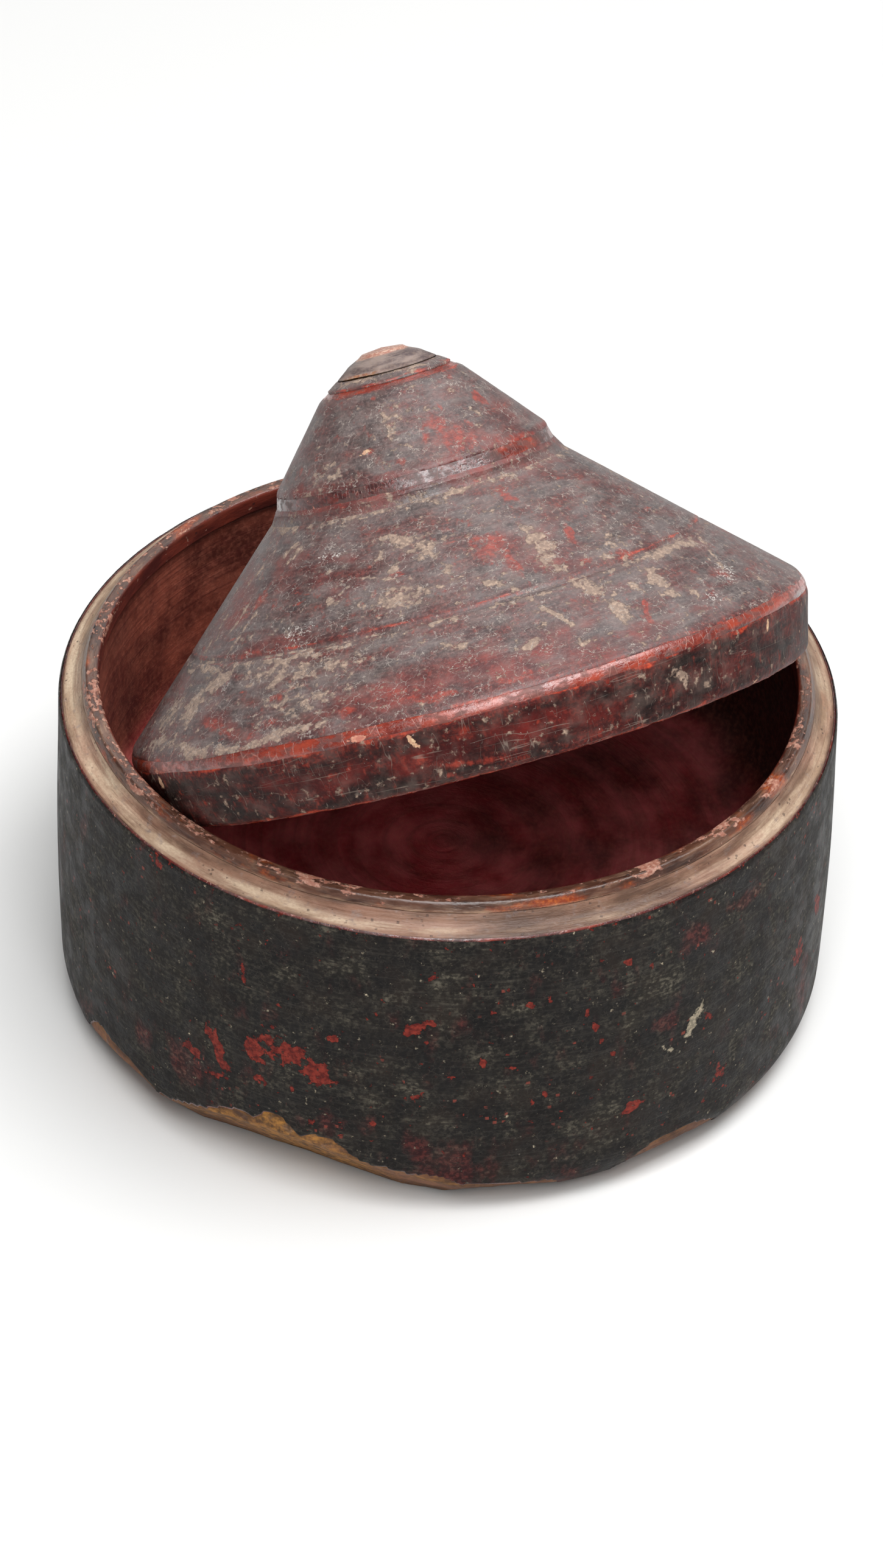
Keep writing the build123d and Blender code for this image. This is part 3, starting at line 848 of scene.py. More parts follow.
def break_foot(piece):
    """Moves the mesh's points that lie beyond a break back to its rough flat."""
    mesh = piece.data
    points = np.zeros(len(mesh.vertices) * 3)
    mesh.vertices.foreach_get("co", points)
    points = points.reshape(-1, 3) / MM
    moved = 0
    for direction, slope, bite in BREAKS:
        angle, radius = np.arctan2(points[:, 1], points[:, 0]), np.hypot(points[:, 0], points[:, 1])
        past = beyond_break(angle, radius, points[:, 2], direction, slope, bite)
        close = (past > -1.5) & (points[:, 2] < FOOT_ZONE) & (radius > 60)
        torn = TORN_UNEVEN * unevenness(points[close], TORN_WIDTH, 71, 4) + TORN_DEPTH
        cut = np.clip(past[close] + torn, 0, None)
        turn, lift = radians(direction), radians(slope)
        flat = np.array([cos(turn) * cos(lift), sin(turn) * cos(lift), -sin(lift)])
        points[close] -= cut[:, None] * flat
        moved += int((cut > 0).sum())
    mesh.vertices.foreach_set("co", (points * MM).ravel())
    print(f"{piece.name}: {moved} points moved back to the breaks")


def break_top(path):
    """The height at which the breaks end, for every direction."""
    angle = directions()[:, None]
    top = np.zeros(ROUND)
    for direction, slope, bite in BREAKS:
        past = beyond_break(angle, path[:, 0], path[:, 1], direction, slope, bite)
        top = np.maximum(top, np.where(past > 0, path[:, 1], 0).max(axis=1))
    return top


# %% [markdown]
# The bowl is one piece of wood from foot to lip. It shows on the broken foot and on the ledge that
# the lid has rubbed hollow, so those stretches are fine and the covered ones are coarse. The tone
# field makes the ledge cream and leaves the foot ochre. Along both its edges the ledge is darker:
# partly a brown stain, partly painted shade where its hollow turns up to the rim and to the lip.

# %% The wooden bowl
RECESS_HEIGHT, RECESS_RADIUS = 3, 69
LEDGE_HEIGHT = 90.9
bowl_corners = [
    (0, RECESS_HEIGHT, 0), (RECESS_RADIUS, RECESS_HEIGHT, 0), *side_corners(COATS)[:-1],
    (RIM_RADIUS - COATS, RIM_HEIGHT, 1.0), (95.6, 91.5, 3.4), *inset(LIP, LIP_COAT)[1:], *UNDER_INSIDE,
]


def bare_wood_shows(radius, height):
    return ((height > 88.5) & (radius > 89)) | ((height < 27) & (radius > 84))


bowl_path = thinned(outline(bowl_corners, 0.45), bare_wood_shows, 8)


def bowl_sunk(angle, radius, height):
    """Dents, and the ledge rubbed more in some places than in others."""
    uneven = 1 + unevenness(points_at(angle, radius, height), 26, 81)
    rubbed = 0.25 * uneven * near(height, LEDGE_HEIGHT, 1.2)
    return box_dents(angle, radius, height) + rubbed * (radius > 93)


def bowl_wear(angle, radius, height):
    """Cream above and ochre below; the ledge's two edges darker, partly stain and partly painted shade;
    stains on the foot but for a fresh tear.
    """
    upper, foot = height > 60, height < FOOT_ZONE
    in_front, fresh_tear = towards(angle, 275, 45), towards(angle, 249, 12)
    rim_side, lip_side = near(radius, 99.2, 0.8), near(radius, 93.8, 1.5 + 1.5 * in_front)
    patchy = 0.35 * unevenness(points_at(angle, radius, height), 22, 82)
    # rim_side and lip_side darken the ledge's edges: painted shade of its hollow, with real brown stain.
    stain_and_shade = (rim_side * 0.8 + lip_side * (0.6 + 0.4 * in_front) + 0.12 + patchy) * upper
    stain_and_shade = stain_and_shade + 0.4 * in_front * upper + 0.35 * (radius < 91) * upper + foot * (0.85 - 0.9 * fresh_tear)
    return {"tone": np.clip((height - 60) / 20, 0, 1) + 0 * angle, "stain_and_shade": stain_and_shade}


bowl = solid("bowl_wood", bowl_path, bowl_sunk, bowl_wear, warp)
break_foot(bowl)
settle(bowl, "box", "turned_wood", bare_wood, "box_wood")

# %% [markdown]
# The two coats on the side stop short of the breaks and end raggedly there. At the rim the dark
# one has worn back by half a millimetre and leaves the red one as a line, dull at the back and on
# the left, brighter in front, with flakes gone below it.

# %% Edges of the side's coats
side = outline(side_corners(0), 0.8)
side = side[side[:, 1] > 0.5]
FLAKED_BACK = [
    (246, 0, 6, 1, 0, 5.0), (240, 0, 7, 1, 0, 2.5), (254, 0, 6, 1, 0, 3.0), (216, 0, 9, 1, 0, 3.0),
    (209, 0, 8, 1, 0, 4.5), (202, 0, 6, 1, 0, 3.0), (309, 0, 12, 1, 0, 2.6), (274, 0, 12, 1, 0, 0.8),
    (287, 0, 8, 1, 0, 0.6),
]
flaked_back = worn(directions(), 0, RIM_RADIUS, FLAKED_BACK)
foot_edge = np.maximum(break_top(side), 2.2) + flaked_back + 0.7 + 1.2 * ragged(9, 73, 4)
dark_low = np.clip(foot_edge, 0.9, FOOT_ZONE)
red_low = np.clip(foot_edge - 0.5 - 0.5 * ragged(7, 74), 0.8, FOOT_ZONE)
rim_front = towards(directions(), 275, 38)
flakes = np.clip(ragged(7, 76, 4) - 0.35, 0, 1) * (0.4 + 0.7 * rim_front)
dark_high = RIM_HEIGHT - 0.3 - 0.3 * rim_front - 0.3 * np.abs(ragged(8, 75, 4)) - flakes
red_high = RIM_HEIGHT - 0.1 - 0.25 * np.abs(ragged(6, 77))
print("dark coat starts between", dark_low.min().round(1), "and", dark_low.max().round(1), "mm up")

# %% [markdown]
# Wear on the side, read off the real box from left to right: a group of red flakes at lower left,
# small ones all over the middle, a pale chip on the right, grey films, and maroon stains.

# %% Wear on the side
RED_FLAKES = [
    (241, 66.1, 3.5, 0.9, -76, 0.96), (243, 43.1, 3.1, 4.1, 23, 1.02), (245, 47.7, 3.4, 2, 15, 0.84),
    (249, 45.9, 3.9, 3.9, 19, 1.02), (246, 45.2, 4.1, 3.1, 20, 0.72), (253, 41.6, 4.9, 3.2, -31, 1.02),
    (252, 43.1, 2.8, 2.8, -42, 0.96), (244, 34.5, 2, 2, 22, 0.84), (249, 34.5, 1.2, 1.4, 16, 0.60),
    (236, 42.6, 3.5, 2, -71, 0.84), (237, 37, 6.9, 2, -70, 0.96), (232, 34, 4.7, 2.4, -23, 0.66),
    (230, 35.5, 1.8, 1.4, 15, 0.55), (236, 29.5, 2.3, 1.9, 15, 0.60), (255, 54.6, 1.6, 1.8, -27, 1.02),
    (267, 61.2, 3, 2.2, 22, 1.05), (269, 63.7, 1.9, 1, -57, 0.99), (269, 57.2, 1.1, 0.6, -76, 0.99),
    (263, 47.1, 1.2, 1.1, 7, 0.77), (267, 38.5, 3.1, 1.3, 24, 0.55), (269, 77.2, 1.9, 0.7, 12, 0.77),
    (246, 53, 0.8, 0.9, -13, 0.96), (252, 25.4, 1.9, 1.6, 44, 0.48), (261, 28.1, 2, 1.1, 22, 0.44),
    (224, 87.7, 3.6, 2.4, 7, 0.55), (298, 75.6, 1.4, 1.3, -19, 0.88), (302, 72.3, 2.2, 0.5, -83, 0.77),
    (286, 69.2, 0.8, 0.8, -49, 0.99), (283, 68.2, 1.4, 1.2, -32, 0.77), (278, 67.4, 1.1, 0.8, -30, 0.88),
    (292, 63, 1.7, 0.8, -81, 0.88), (293, 57.7, 1.7, 1, -66, 0.88), (294, 52.2, 0.8, 0.7, -16, 0.99),
    (298, 50, 1.1, 0.8, -20, 0.77), (296, 47.5, 1.4, 0.7, -63, 0.77), (277, 50.1, 2.5, 0.7, -68, 0.77),
    (281, 48.2, 1.8, 0.7, -7, 0.88), (280, 52.8, 0.7, 0.6, -6, 0.88), (284, 37, 1.6, 0.7, -75, 1.05),
    (286, 38.4, 1.1, 0.6, -44, 0.99), (300, 27.4, 4.2, 1.8, 18, 1.04), (316, 23.8, 5.3, 2.5, -71, 0.66),
    (313, 46, 2.4, 1, -53, 0.88), (344, 47, 6, 2.3, -61, 0.88), (336, 41.8, 3.4, 4.8, 18, 0.88),
    (272, 46.3, 0.8, 0.8, -21, 0.77), (60, 40, 6, 3.6, 20, 0.88), (120, 55, 4.8, 7.2, 60, 0.77),
    (165, 30, 3.6, 2.4, 0, 0.88),
]
MAROON_STAINS = [
    (222, 27.3, 4, 4.8, -10, 0.5), (231, 27, 8.3, 6.1, -9, 0.65), (245, 56.9, 12.5, 3.5, 22, 0.3),
    (256, 26.1, 11, 4, 6, 0.4), (270, 20.4, 11, 5.7, -26, 0.6), (310, 75.8, 4, 4.9, 38, 0.7),
    (320, 77.8, 10.2, 2.8, -6, 0.7), (308, 72, 3.7, 3.3, -13, 0.6), (305, 51.8, 4.2, 2.4, -15, 0.6),
    (340, 26.8, 13.4, 6.1, -65, 0.7), (331, 20, 10.7, 3.8, -29, 0.5), (273, 12, 16, 6, 0, 0.65),
    (290, 8, 10, 4, 0, 0.5), (207, 17.3, 11.6, 3.1, 27, 0.4), (90, 30, 20, 14, 10, 0.6),
    (20, 70, 20, 8, 0, 0.5), (150, 40, 16, 10, 0, 0.5), (40, 20, 20, 8, 0, 0.5),
]
GREY_FILMS = [
    (302, 64.1, 8.8, 4.6, -14, 0.8), (272, 78.5, 3.6, 1.2, -13, 0.8), (281, 67.8, 4.3, 2.8, -7, 0.55),
    (295, 29.4, 6.1, 4.9, 2, 0.6), (290, 47.8, 4.5, 3, 3, 0.5), (327, 62.2, 4.9, 1.2, -81, 0.8),
    (331, 31.1, 4.6, 2.5, 18, 0.7), (322, 52.8, 7.1, 1.4, -73, 0.5), (298, 58.1, 4.5, 3.2, -19, 0.5),
    (281, 33.4, 4, 2.2, -7, 0.35), (292, 23.6, 6.7, 3.3, -16, 0.4), (243, 73.3, 10.6, 3.5, 17, 0.35),
    (234, 80.2, 5.2, 3.8, -58, 0.35), (255, 77.2, 5.7, 2.7, 15, 0.45), (263, 70.6, 2, 1.9, -14, 0.4),
    (270, 75.9, 4.1, 1.7, 39, 0.45), (284, 56.7, 5.9, 2.2, -51, 0.35), (201, 38.5, 9.7, 13.3, -65, 0.3),
    (130, 60, 24, 9, 10, 0.5), (60, 65, 18, 8, -10, 0.5), (10, 45, 8, 16, 0, 0.4), (95, 45, 9, 14, 20, 0.4),
]
PALE_CHIPS = [
    (310, 47.5, 5.9, 2.1, 63, 0.9), (305, 43.4, 2.3, 0.5, -64, 0.8), (306, 41.7, 1.8, 0.7, -8, 0.7),
    (281, 30.3, 3.7, 0.4, -78, 0.6), (273, 78.3, 1.3, 0.7, -30, 0.6), (75, 60, 3, 1.5, 40, 0.9),
]

print("worn places on the side:", sum(map(len, (RED_FLAKES, MAROON_STAINS, GREY_FILMS, PALE_CHIPS))))

# %% [markdown]
# The two coats are melted on and rubbed out while the box spins, the red one first and the dark one
# over it. Each is a shell of its own here, as it is on the real box: where the dark one has flaked
# off, the red one is there to be seen. The dark one turns maroon near the foot, and its last
# millimetre below the rim is nicked with red, most in front.

# %% The side's two coats
def side_wear(angle, radius, height):
    angle, height = wandering(angle, height, radius, 85)
    near_foot, near_rim = 0.35 * near(height, 4, 6), 0.15 * rim_front[:, None] * near(height, 89, 1.4)
    return {
        "red": worn(angle, height, radius, RED_FLAKES) + near_rim,
        "maroon": worn(angle, height, radius, MAROON_STAINS) + near_foot,
        "film": worn(angle, height, radius, GREY_FILMS),
        "bare": worn(angle, height, radius, PALE_CHIPS),
    }


def rim_wear(angle, radius, height):
    return {"bare": 0 * angle * height, "dull": 0.9 - 0.35 * rim_front[:, None] + 0 * height}


dark_side = coat(
    "side_dark_coat", side, dark_low, dark_high, 0, DARK_COAT, box_dents, side_wear, warp, taper=0.6,
)
settle(dark_side, "box", "dark_lac", dark_lac, "box_dark_coat")
red_side = coat(
    "side_red_coat", side, red_low, red_high, DARK_COAT, RED_COAT, box_dents, rim_wear, warp, taper=0.3,
)
settle(red_side, "box", "red_lac", red_lac, "box_red_coat")

# %% [markdown]
# The lip stands up round the mouth and keeps its brown lac on the side, the top and the inner face.
# It starts a little above the bare ledge. Amber patches and pale knocks follow the real ones. Its
# coat goes over the top and down again, so coat() can't make it: the shell is made from its outer
# outline and the same outline moved in, one after the other.

# %% The lip's coat
LIP_COAT_FOOT = 93.6
AMBER_PATCHES = [
    (280, 94.6, 10, 1.4, 0, 0.75), (289, 94.6, 9, 1.3, 0, 0.8), (300, 94.6, 5, 1.2, 0, 0.5),
    (322, 95, 6, 1.6, 0, 0.8), (334, 95.5, 5, 2, 0, 0.8), (240, 95, 5, 1.5, 0, 0.4),
    (200, 94, 9, 2, 0, 0.4), (140, 95, 9, 2, 0, 0.8), (90, 95, 30, 2, 0, 0.4),
]
KNOCKS = [
    (249, 96.3, 5, 0.8, 0, 0.75), (256, 96.3, 3, 0.7, 0, 0.7), (304, 96.2, 4, 0.9, 0, 0.85),
    (321, 96.2, 6, 0.8, 0, 0.5), (333, 96.0, 5, 1.0, 0, 0.6), (345, 96.0, 5, 1.2, 0, 0.6),
    (190, 95.5, 16, 1.6, 0, 0.55), (168, 95.5, 12, 1.6, 0, 0.6), (215, 95.8, 10, 1.0, 0, 0.6),
    (60, 95.5, 20, 1.5, 0, 0.6), (110, 95.5, 14, 1.5, 0, 0.6),
]


def lip_wear(angle, radius, height):
    uneven = unevenness(points_at(angle, radius, 0 * height), 11, 83)
    edge = near(height, LIP_TOP, 0.4) * (0.3 + 0.5 * uneven)
    return {
        "amber": worn(angle, height, radius, AMBER_PATCHES),
        "bare": np.maximum(worn(angle, height, radius, KNOCKS), edge),
        "inner": np.clip((90.2 - radius) / 0.5, 0, 1) + 0 * angle,
        "thin": near(height, LIP_COAT_FOOT - 0.2, 0.9) * (radius > 91) + 0 * angle,
    }


def coated(path):
    """The part of the lip's outline that has its coat: all but the low end of its outer side."""
    return path[(path[:, 1] > LIP_COAT_FOOT) | (path[:, 0] < 91)]


lip_outer, lip_inner = coated(outline(LIP, 0.3)), coated(outline(inset(LIP, LIP_COAT), 1.0)[::-1])
angle = directions()[:, None]
lip_radius, lip_height = np.vstack([lip_outer, lip_inner]).T
lip_depth = box_dents(angle, lip_radius, lip_height)
lip_foot = 0.5 * ragged(9, 84, 4)[:, None] * (lip_radius > 92)
lip_foot = lip_foot * np.clip(1 - (lip_height - LIP_COAT_FOOT) / 1.5, 0, 1)
lip_out = lip_radius - 0.3 * lip_depth + warp(angle, lip_height)
lip_along = np.r_[lengths(lip_outer), lengths(lip_inner)] + 0 * angle
lip = swept(
    "lip_brown_coat", lip_out, lip_height - lip_depth + lip_foot, lip_along,
    lip_wear(angle, lip_radius, lip_height), closed=True,
)
settle(lip, "box", "brown_lac", brown_lac, "lip_coat")

# %% [markdown]
# The inside coat is a thin bowl of its own: along the floor, round the corner and up to below the
# lip. The floor field tells the material where it is floor. The wall is darkest on the right, in the
# lid's shadow, so painted shade lies there and grows with the height. The side that nobody sees
# needs few points.

# %% The inside coat
inside_path = np.vstack([outline(UNDER_INSIDE[::-1], 4), outline(INSIDE, 1.0)])


def inside_floor_and_shade(angle, radius, height):
    # Painted shade: the lid's shadow on the right of the inside wall, deeper higher up.
    stain_and_shade = towards(angle, 5, 65) * (0.35 + np.clip((height - 41) / 10, 0, 0.9))
    return {"floor": np.clip((52 - height) / 8, 0, 1) + 0 * angle, "stain_and_shade": stain_and_shade}


inside = solid("bowl_inside_coat", inside_path, box_dents, inside_floor_and_shade, warp)
settle(inside, "box", "inside_lac", inside_lac, "box_inside_coat")

# %% [markdown]
# ## The lid
#
# The lid is a hollow cone with a tapered band that plugs into the mouth, a rounded shoulder, an
# incised groove, a ridge round its neck and a ring near the top. The groove is cut with the point of
# a chisel while the lid spins: 1.8 mm wide and 0.7 mm deep. It is sunk into the same points that the
# dents move, in wood and coats alike. Its width is given as a step in height, which is shorter than
# the way along the cone. The low edge has small teeth, where coats and wood have crumbled.

# %% Dents and groove of the lid
GROOVE_HEIGHT = 18 + 22.4 * 48.6 / 52.2
GROOVE_DEPTH, GROOVE_HALF = 0.7, 0.62
TEETH_HEIGHT = 1.2


def lid_sunk(angle, radius, height):
    groove = np.clip(1 - np.abs(height - GROOVE_HEIGHT) / GROOVE_HALF, 0, 1) * (radius > 60)
    teeth = 0.5 * (1 + unevenness(points_at(angle, radius, 0 * height), 3.5, 93)) * (radius > 80)
    teeth = teeth * np.clip(1 - height / TEETH_HEIGHT, 0, 1)
    return dents(angle, radius, height, LID_SEED) + GROOVE_DEPTH * groove + teeth


def lid_wood_wear(angle, radius, height):
    return {"tone": 0.35 + 0 * angle * height, "stain_and_shade": 1.2 * (height < 60) + 0 * angle}


def lid_wood_shows(radius, height):
    return (height < 2.5) | (height > 90) | (np.abs(height - GROOVE_HEIGHT) < 2)


HOLE_RADIUS, HOLE_BOTTOM = 7.1, 82.7
lid_corners = [
    (0, NECK_HEIGHT, 0), *LID_HOLLOW[::-1], *inset(LID_OUTSIDE, COATS),
    (HOLE_RADIUS, LID_TOP, 0), (HOLE_RADIUS, HOLE_BOTTOM, 0), (0, HOLE_BOTTOM, 0),
]
lid_path = thinned(outline(lid_corners, 0.6), lid_wood_shows, 5)
lid_wood = solid("lid_cone_wood", lid_path, lid_sunk, lid_wood_wear)
settle(lid_wood, "lid", "turned_wood", bare_wood, "lid_wood")

# %% [markdown]
# The hollow of the lid has a coat of the same lac as the inside of the box. Nobody sees it until the
# lid is lifted, and it has hardly been touched, so it has no dents and no wear, and few points.

# %% The hollow's coat
coat_top = NECK_HEIGHT - INSIDE_COAT
under_hollow = [(r, min(z, coat_top), 0) for r, z, _ in inset(LID_CONE, COATS + LID_WALL + INSIDE_COAT)]
hollow_path = np.vstack([
    outline([(0, coat_top, 0), *under_hollow[::-1]], 3), outline([*LID_HOLLOW, (0, NECK_HEIGHT, 0)], 3),
])


def hollow_wear(angle, radius, height):
    nothing = 0 * angle * height
    return {"floor": nothing, "stain_and_shade": nothing}


hollow = solid("lid_hollow_coat", hollow_path, no_dents, hollow_wear)
settle(hollow, "lid", "inside_lac", inside_lac, "lid_inside_coat")

# %% [markdown]
# The red coat covers the whole cone; the dark one lies over it in four stretches. Between them the
# red shows at the shoulder, the ridge and the ring. Near its edges the dark coat is rubbed thin and
# turns red itself, so that no hard line is left. The lists follow the real lid from left to right.
# A millimetre of height on the cone is 1.467 mm along it.

# %% Wear on the lid
LID_STEEP = 1.467
CAKED_DUST = [
    (92, 47, 7, 0.7, 75, 0.75), (97, 44, 6, 0.8, 70, 0.7), (88, 57, 6, 0.8, 60, 0.65),
    (82, 44, 8, 1.2, 85, 0.6), (104, 60, 5, 2.5, 20, 0.5), (145, 45.1, 9.5, 4.1, 1, 0.7),
    (126, 48.6, 1.5, 1.8, 18, 0.8), (130, 50.4, 2.7, 0.6, 37, 0.7), (142, 50, 8.9, 0.5, -16, 0.6),
    (143, 51.9, 1.4, 1.5, -20, 0.9), (139, 55.2, 2.5, 1.1, 34, 0.7), (151, 53.5, 3.4, 0.6, -11, 0.7),
    (116, 37.6, 12.9, 1, -1, 0.95), (130, 37.8, 5.3, 0.7, 2, 0.6), (88, 37.1, 15.6, 1, -1, 0.8),
    (97, 34.7, 6.2, 2.5, 24, 0.95), (92, 29.5, 5.8, 4.3, 89, 0.75), (99, 20.6, 11.8, 1.9, -12, 0.8),
    (110, 20.2, 9.6, 1.4, -6, 0.8), (119, 21.1, 8.3, 1.9, 11, 0.95), (127, 22.2, 4.3, 1.4, 6, 0.6),
    (120, 34.5, 22, 4.6, -5, 0.5), (125, 27.5, 12.9, 5.3, -7, 0.42), (83, 28.2, 7.1, 7.8, 55, 0.6),
    (86, 22.7, 10.1, 2.2, 7, 0.6), (116, 43.4, 2.7, 2.8, 33, 0.35), (158, 49.1, 2.2, 1.9, -43, 0.5),
    (182, 48.8, 7.4, 3.3, 86, 0.75), (181, 43.2, 5, 2.6, -79, 0.6), (200, 44.1, 4.2, 3.1, -68, 0.5),
    (194, 41.3, 5, 2, -74, 0.5), (208, 37.4, 11.4, 1.9, -6, 0.8), (215, 37.2, 8, 1.5, -15, 0.8),
    (199, 32.7, 5, 2.3, 83, 0.9), (199, 28.8, 2.7, 1.9, -55, 0.8), (185, 35.7, 4.4, 3.5, -54, 0.8),
    (186, 29.1, 5, 2.3, 88, 0.85), (193, 32.5, 2.7, 1.5, -74, 0.8), (172, 36.2, 3.5, 1.1, -62, 0.6),
    (175, 31.9, 4.7, 1.1, -62, 0.9), (166, 42.6, 6, 1.1, -41, 0.7), (167, 27.9, 3.8, 1.5, 8, 0.85),
    (177, 24, 2.8, 1.5, -11, 0.5), (153, 38.4, 4.5, 0.7, -7, 0.7), (162, 37.8, 7.7, 0.7, -3, 0.5),
    (154, 53.9, 1.5, 1.9, -18, 0.7), (157, 48.8, 1.8, 2.3, -21, 0.45), (153, 32.7, 5.8, 1.1, -20, 0.6),
    (222, 35, 6, 1.3, 50, 0.6), (217, 29.4, 5.7, 1.1, 51, 0.5), (203, 27.1, 3, 1.3, -83, 0.6),
    (222, 23.5, 3.7, 1.8, 87, 0.6), (191, 8.8, 9.3, 3.4, -35, 0.4), (134, 66.3, 14.1, 1.4, 0, 1.1),
    (166, 66.0, 9.7, 1.4, -4, 0.95), (99, 66.0, 9.2, 1.3, 3, 0.8), (213, 66.3, 15, 1.6, -5, 0.5),
    (149, 85.7, 5.4, 2.8, -89, 0.55), (113, 75.4, 7.1, 5.3, -64, 0.4), (151, 55.6, 6.4, 3.8, -37, 0.5),
    (144, 58.8, 5.5, 1.9, -17, 0.6), (30, 30, 18, 9, 30, 0.6), (280, 45, 14, 8, -40, 0.6),
    (330, 28, 20, 4, 5, 0.7), (250, 55, 8, 6, 20, 0.6), (0, 80, 9, 6, 50, 0.5),
]
VERMILION = [
    (171, 51.9, 6.3, 3.4, -62, 0.75), (173, 46.2, 4.5, 1, -82, 0.9), (166, 50.6, 3.8, 1.5, -79, 0.6),
    (160, 57.3, 1.6, 1, -21, 0.5), (191, 48.9, 4.1, 1.6, 59, 0.85), (189, 42.1, 2.8, 1.7, -9, 0.7),
    (196, 41.7, 3.3, 0.7, 15, 0.6), (199, 40, 3, 2.6, -76, 0.9), (180, 34.2, 1.6, 0.9, -60, 0.7),
    (191, 26.9, 4.5, 0.7, 62, 1.1), (214, 28, 1.7, 2.6, 81, 0.8), (167, 39, 14.1, 0.5, 0, 0.55),
    (184, 38.8, 6.7, 0.4, -2, 0.5), (177, 77.7, 7.2, 4.4, -45, 0.75), (174, 82.7, 3.7, 2.2, -35, 0.7),
    (208, 84.1, 3.1, 2.2, 79, 0.9), (151, 75.7, 1.4, 1.2, -20, 0.95), (209, 72.4, 11.4, 1.4, -12, 0.7),
    (137, 79.4, 1.6, 0.8, -9, 0.7), (139, 91.3, 1.1, 1, 17, 0.4), (184, 61.2, 6.6, 2.7, 83, 0.5),
    (168, 51.6, 7.4, 3, -75, 0.6), (172, 45.2, 4.6, 1.7, -78, 0.6), (98, 50.4, 3.1, 1.8, 63, 1),
    (106, 49, 1.5, 1.2, 18, 0.6), (116, 49, 6.6, 0.5, -1, 0.6), (103, 39.8, 7.6, 1.8, 8, 0.5),
    (118, 29.7, 3.4, 1.7, -9, 0.7), (104, 25.2, 9.9, 1.9, -21, 0.8), (114, 23.1, 4.7, 1.5, -8, 0.5),
    (119, 24.2, 4.7, 1.4, -16, 0.45), (142, 25.5, 13, 1, -23, 0.45), (134, 23.7, 2.5, 1.3, -6, 0.8),
    (142, 24.9, 5.7, 1.4, -5, 0.7), (150, 22.3, 9, 1.6, -6, 0.75), (163, 21.8, 10, 1.4, 0, 0.65),
    (89, 38.3, 12.4, 0.4, -2, 0.7), (117, 38.6, 20.6, 0.4, 0, 0.45), (132, 10, 0.9, 0.9, -13, 0.8),
    (129, 9.5, 1.9, 0.8, 4, 0.7), (144, 7.9, 2.1, 1.5, -14, 0.5), (148, 6.2, 2, 1.3, -15, 0.5),
    (148, 2.7, 1.6, 1.1, -17, 0.6), (150, 1.1, 6.4, 0.8, -6, 0.6), (153, 4.6, 9, 1.4, -13, 0.7),
    (164, 9.8, 1.3, 0.8, -90, 0.9), (167, 1.8, 4.9, 0.7, -11, 0.6), (174, 2.7, 2.1, 1, -4, 0.6),
    (180, 9.1, 1.5, 1.1, 28, 0.6), (208, 7.9, 1.5, 0.6, -15, 0.7), (115, 6.4, 3.9, 1.8, 0, 0.4),
    (60, 45, 8, 4, 40, 0.6), (300, 55, 9, 4, -50, 0.7), (250, 35, 7, 3, 10, 0.6),
]
MAROON_GLAZE = [
    (85, 50, 10, 9, 0, 0.9), (78, 33, 9, 6, 0, 0.8), (101, 58, 7, 4, 30, 0.7), (128, 8, 16, 6, 0, 0.7),
    (150, 8, 18, 7, 0, 0.9), (200, 7, 10, 4, 0, 0.5), (142, 24.1, 18, 5.5, 1, 1.2),
    (160, 24.3, 19.6, 5.3, 6, 1.15), (180, 23, 16, 4.5, 0, 0.9), (152, 27.5, 18, 4.5, 8, 1.0),
    (172, 27.5, 12, 4, 0, 0.85), (166, 8, 16, 6, 0, 0.9), (113, 40.8, 18.8, 3.3, 1, 0.6),
    (179, 46.1, 14.8, 8.8, -43, 0.5), (201, 73.9, 15.9, 12.3, -39, 0.6), (115, 56.3, 27.3, 5.6, -21, 0.5),
    (125, 9.5, 20.2, 2.7, -3, 0.5), (163, 7.9, 23.4, 3.6, -2, 0.6), (219, 38.2, 6.9, 6.8, -43, 0.4),
    (148, 8, 10, 6, 0, 0.6), (106, 53.1, 14.1, 3.3, -16, 0.35), (105, 26.4, 12.8, 3.8, -29, 0.7),
    (60, 25, 30, 6, 0, 0.6), (300, 25, 40, 6, 0, 0.6),
]
WOOD_CHIPS = [
    (144, 13.4, 2.4, 0.8, -68, 1.0), (88.4, 13.2, 1.9, 1.3, 75, 0.95), (213.2, 13.2, 1.8, 0.7, 80, 0.95),
    (134.8, 79.3, 2.2, 0.5, 0, 0.75), (208, 1.0, 1.8, 0.8, 0, 0.7),
]
SCRATCHES = [
    (216, 28, 5, 3, 20, 1), (205, 24, 5, 2, 10, 0.7), (118, 43, 5, 3, 10, 0.9), (122, 58, 4, 3, 0, 0.8),
    (101, 33, 2, 2, 0, 0.9),
]

lid_places = sum(map(len, (CAKED_DUST, VERMILION, MAROON_GLAZE, WOOD_CHIPS, SCRATCHES)))
print("worn places on the lid:", lid_places)

# %% [markdown]
# Besides the listed places, edges and hollows that run all round wear all round. Hands rub the dark
# coat thin at the shoulder, beside the ring, at the low edge and above the groove. It is dull maroon
# on both flanks of the ridge and above the shoulder in front, and dust gathers under the ridge, below
# the tip and below the groove. The red coat is bright but for most of the ridge and the shoulder's
# low side, with two chips.

